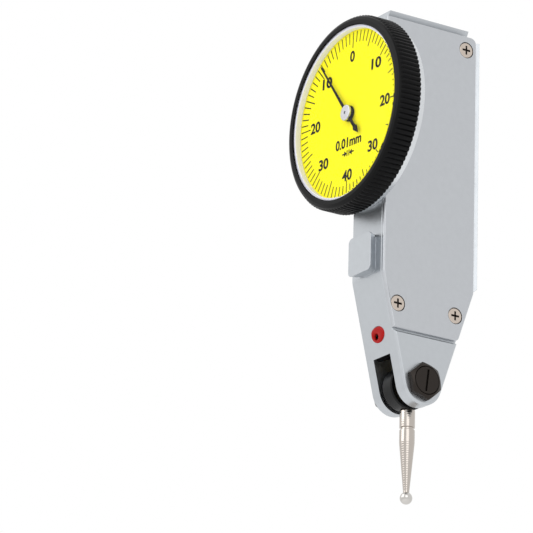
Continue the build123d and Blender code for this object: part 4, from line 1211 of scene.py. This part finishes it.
@dataclass
class Studio:
    """Pale floor, white surroundings, soft lamps and the camera at the photograph's angle.

    Lengths of the camera and the floor are in millimetres, those of the lamps in metres. The camera's
    angles are in degrees.
    """

    places: Places
    azimuth: float = 57.07
    elevation: float = -18.76
    roll: float = -1.51
    distance: float = 700.0
    focal_pixels: float = 4473.4
    across: float = -15.48
    up: float = 17.66
    floor_z: float = -320.0
    floor_size: float = 8000.0
    floor_glow: float = 0.3
    floor_colour: str = "#f4f4f4"
    ambient: float = 0.74
    lamp_target: tuple[float, float, float] = (0.0, -0.012, -0.015)
    lamps: tuple[Lamp, ...] = (KEY_LAMP, SIDE_LAMP)

    def build(self) -> None:
        """Builds the floor, the surroundings, the lamps and the camera."""
        self.add_floor()
        self.add_world()
        for lamp in self.lamps:
            self.add_lamp(lamp)
        self.add_camera()
        bpy.context.scene.view_settings.view_transform = "Standard"

    def add_floor(self) -> None:
        """Builds the pale floor, with a weak glow of its own, so that it is white where no shadow falls."""
        half = self.floor_size / 2
        corners = [(-half, -half), (half, -half), (half, half), (-half, half)]
        mesh = bpy.data.meshes.new("floor")
        mesh.from_pydata([(x * MM, y * MM, self.floor_z * MM) for x, y in corners], [], [(0, 1, 2, 3)])
        floor = link("floor", mesh)
        material = bpy.data.materials.new("pale floor")
        material.use_nodes = True
        tree = material.node_tree
        tree.nodes.clear()
        plain = add_node(tree, "ShaderNodeBsdfPrincipled", {
            "Base Color": linear(self.floor_colour), "Roughness": 0.9, "Specular IOR Level": 0.0,
            "Emission Color": (1, 1, 1, 1), "Emission Strength": self.floor_glow,
        })
        add_node(tree, "ShaderNodeOutputMaterial", {"Surface": plain.outputs[0]})
        mesh.materials.append(material)

    def add_world(self) -> None:
        """Builds the surroundings: white to the camera, to metal and through glass, and soft as a light."""
        world = bpy.data.worlds.new("studio")
        world.use_nodes = True
        tree = world.node_tree
        tree.nodes.clear()
        path = add_node(tree, "ShaderNodeLightPath")
        clear = add_node(tree, "ShaderNodeMath", {
            0: path.outputs["Is Camera Ray"], 1: path.outputs["Is Transmission Ray"]}, operation="MAXIMUM")
        seen = add_node(tree, "ShaderNodeMath", {
            0: clear.outputs[0], 1: path.outputs["Is Glossy Ray"]}, operation="MAXIMUM")
        level = add_node(tree, "ShaderNodeMix", {
            "Factor": seen.outputs[0], "A": self.ambient, "B": 1.0})
        light = add_node(tree, "ShaderNodeBackground",
                         {"Color": (1, 1, 1, 1), "Strength": level.outputs["Result"]})
        add_node(tree, "ShaderNodeOutputWorld", {"Surface": light.outputs[0]})
        bpy.context.scene.world = world

    def add_lamp(self, lamp: Lamp) -> None:
        """Adds a soft square lamp that faces the part.

        Args:
            lamp: where it stands, its size and its power.
        """
        target = Vector(self.lamp_target)
        light = bpy.data.lights.new(lamp.name, "AREA")
        light.size = lamp.size
        light.energy = lamp.power
        holder = bpy.data.objects.new(lamp.name, light)
        holder.location = target + Vector(lamp.direction).normalized() * lamp.away
        holder.rotation_euler = (target - holder.location).to_track_quat("-Z", "Y").to_euler()
        bpy.context.scene.collection.objects.link(holder)

    def add_camera(self) -> None:
        """Sets the camera from its azimuth, elevation and roll about the pivot's place in the frame.

        back = (sin a cos e, -cos a cos e, sin e), and the camera stands at
        origin + back * distance + right * across + up * up, looking along -back.
        """
        a, e, r = (math.radians(v) for v in (self.azimuth, self.elevation, self.roll))
        back = Vector((math.sin(a) * math.cos(e), -math.cos(a) * math.cos(e), math.sin(e)))
        level = Vector((math.cos(a), math.sin(a), 0.0))
        above = back.cross(level)
        right = level * math.cos(r) - above * math.sin(r)
        upward = level * math.sin(r) + above * math.cos(r)
        origin = Vector((0.0, self.places.case_front, self.places.pivot[2]))
        spot = (origin + back * self.distance + right * self.across + upward * self.up) * MM
        camera = bpy.data.cameras.new("camera")
        camera.sensor_width = SENSOR_MM
        camera.lens = self.focal_pixels * SENSOR_MM / PHOTO_PIXELS
        camera.clip_start = 0.01
        camera.clip_end = 20.0
        holder = bpy.data.objects.new("camera", camera)
        turn = Matrix((right, upward, back)).transposed()
        holder.matrix_world = Matrix.Translation(spot) @ turn.to_4x4()
        bpy.context.scene.collection.objects.link(holder)
        bpy.context.scene.camera = holder


def main() -> None:
    """Loads the frame, builds every sub-assembly and the studio."""
    logging.basicConfig(level=logging.INFO, format="%(name)s: %(message)s")
    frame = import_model()
    places = Places.read(frame)
    for node, finish in CARRIED_OVER.items():
        solid = places.nodes[node]
        solid.data.materials.clear()
        solid.data.materials.append(finish.material())
    for group in (Case(places), PivotScrews(places), Bezel(places), Dial(places), Pointer(places),
                  Stylus(places)):
        group.build()
        LOG.info("%s done", type(group).__name__)
    Studio(places).build()


if __name__ == "__main__":
    main()
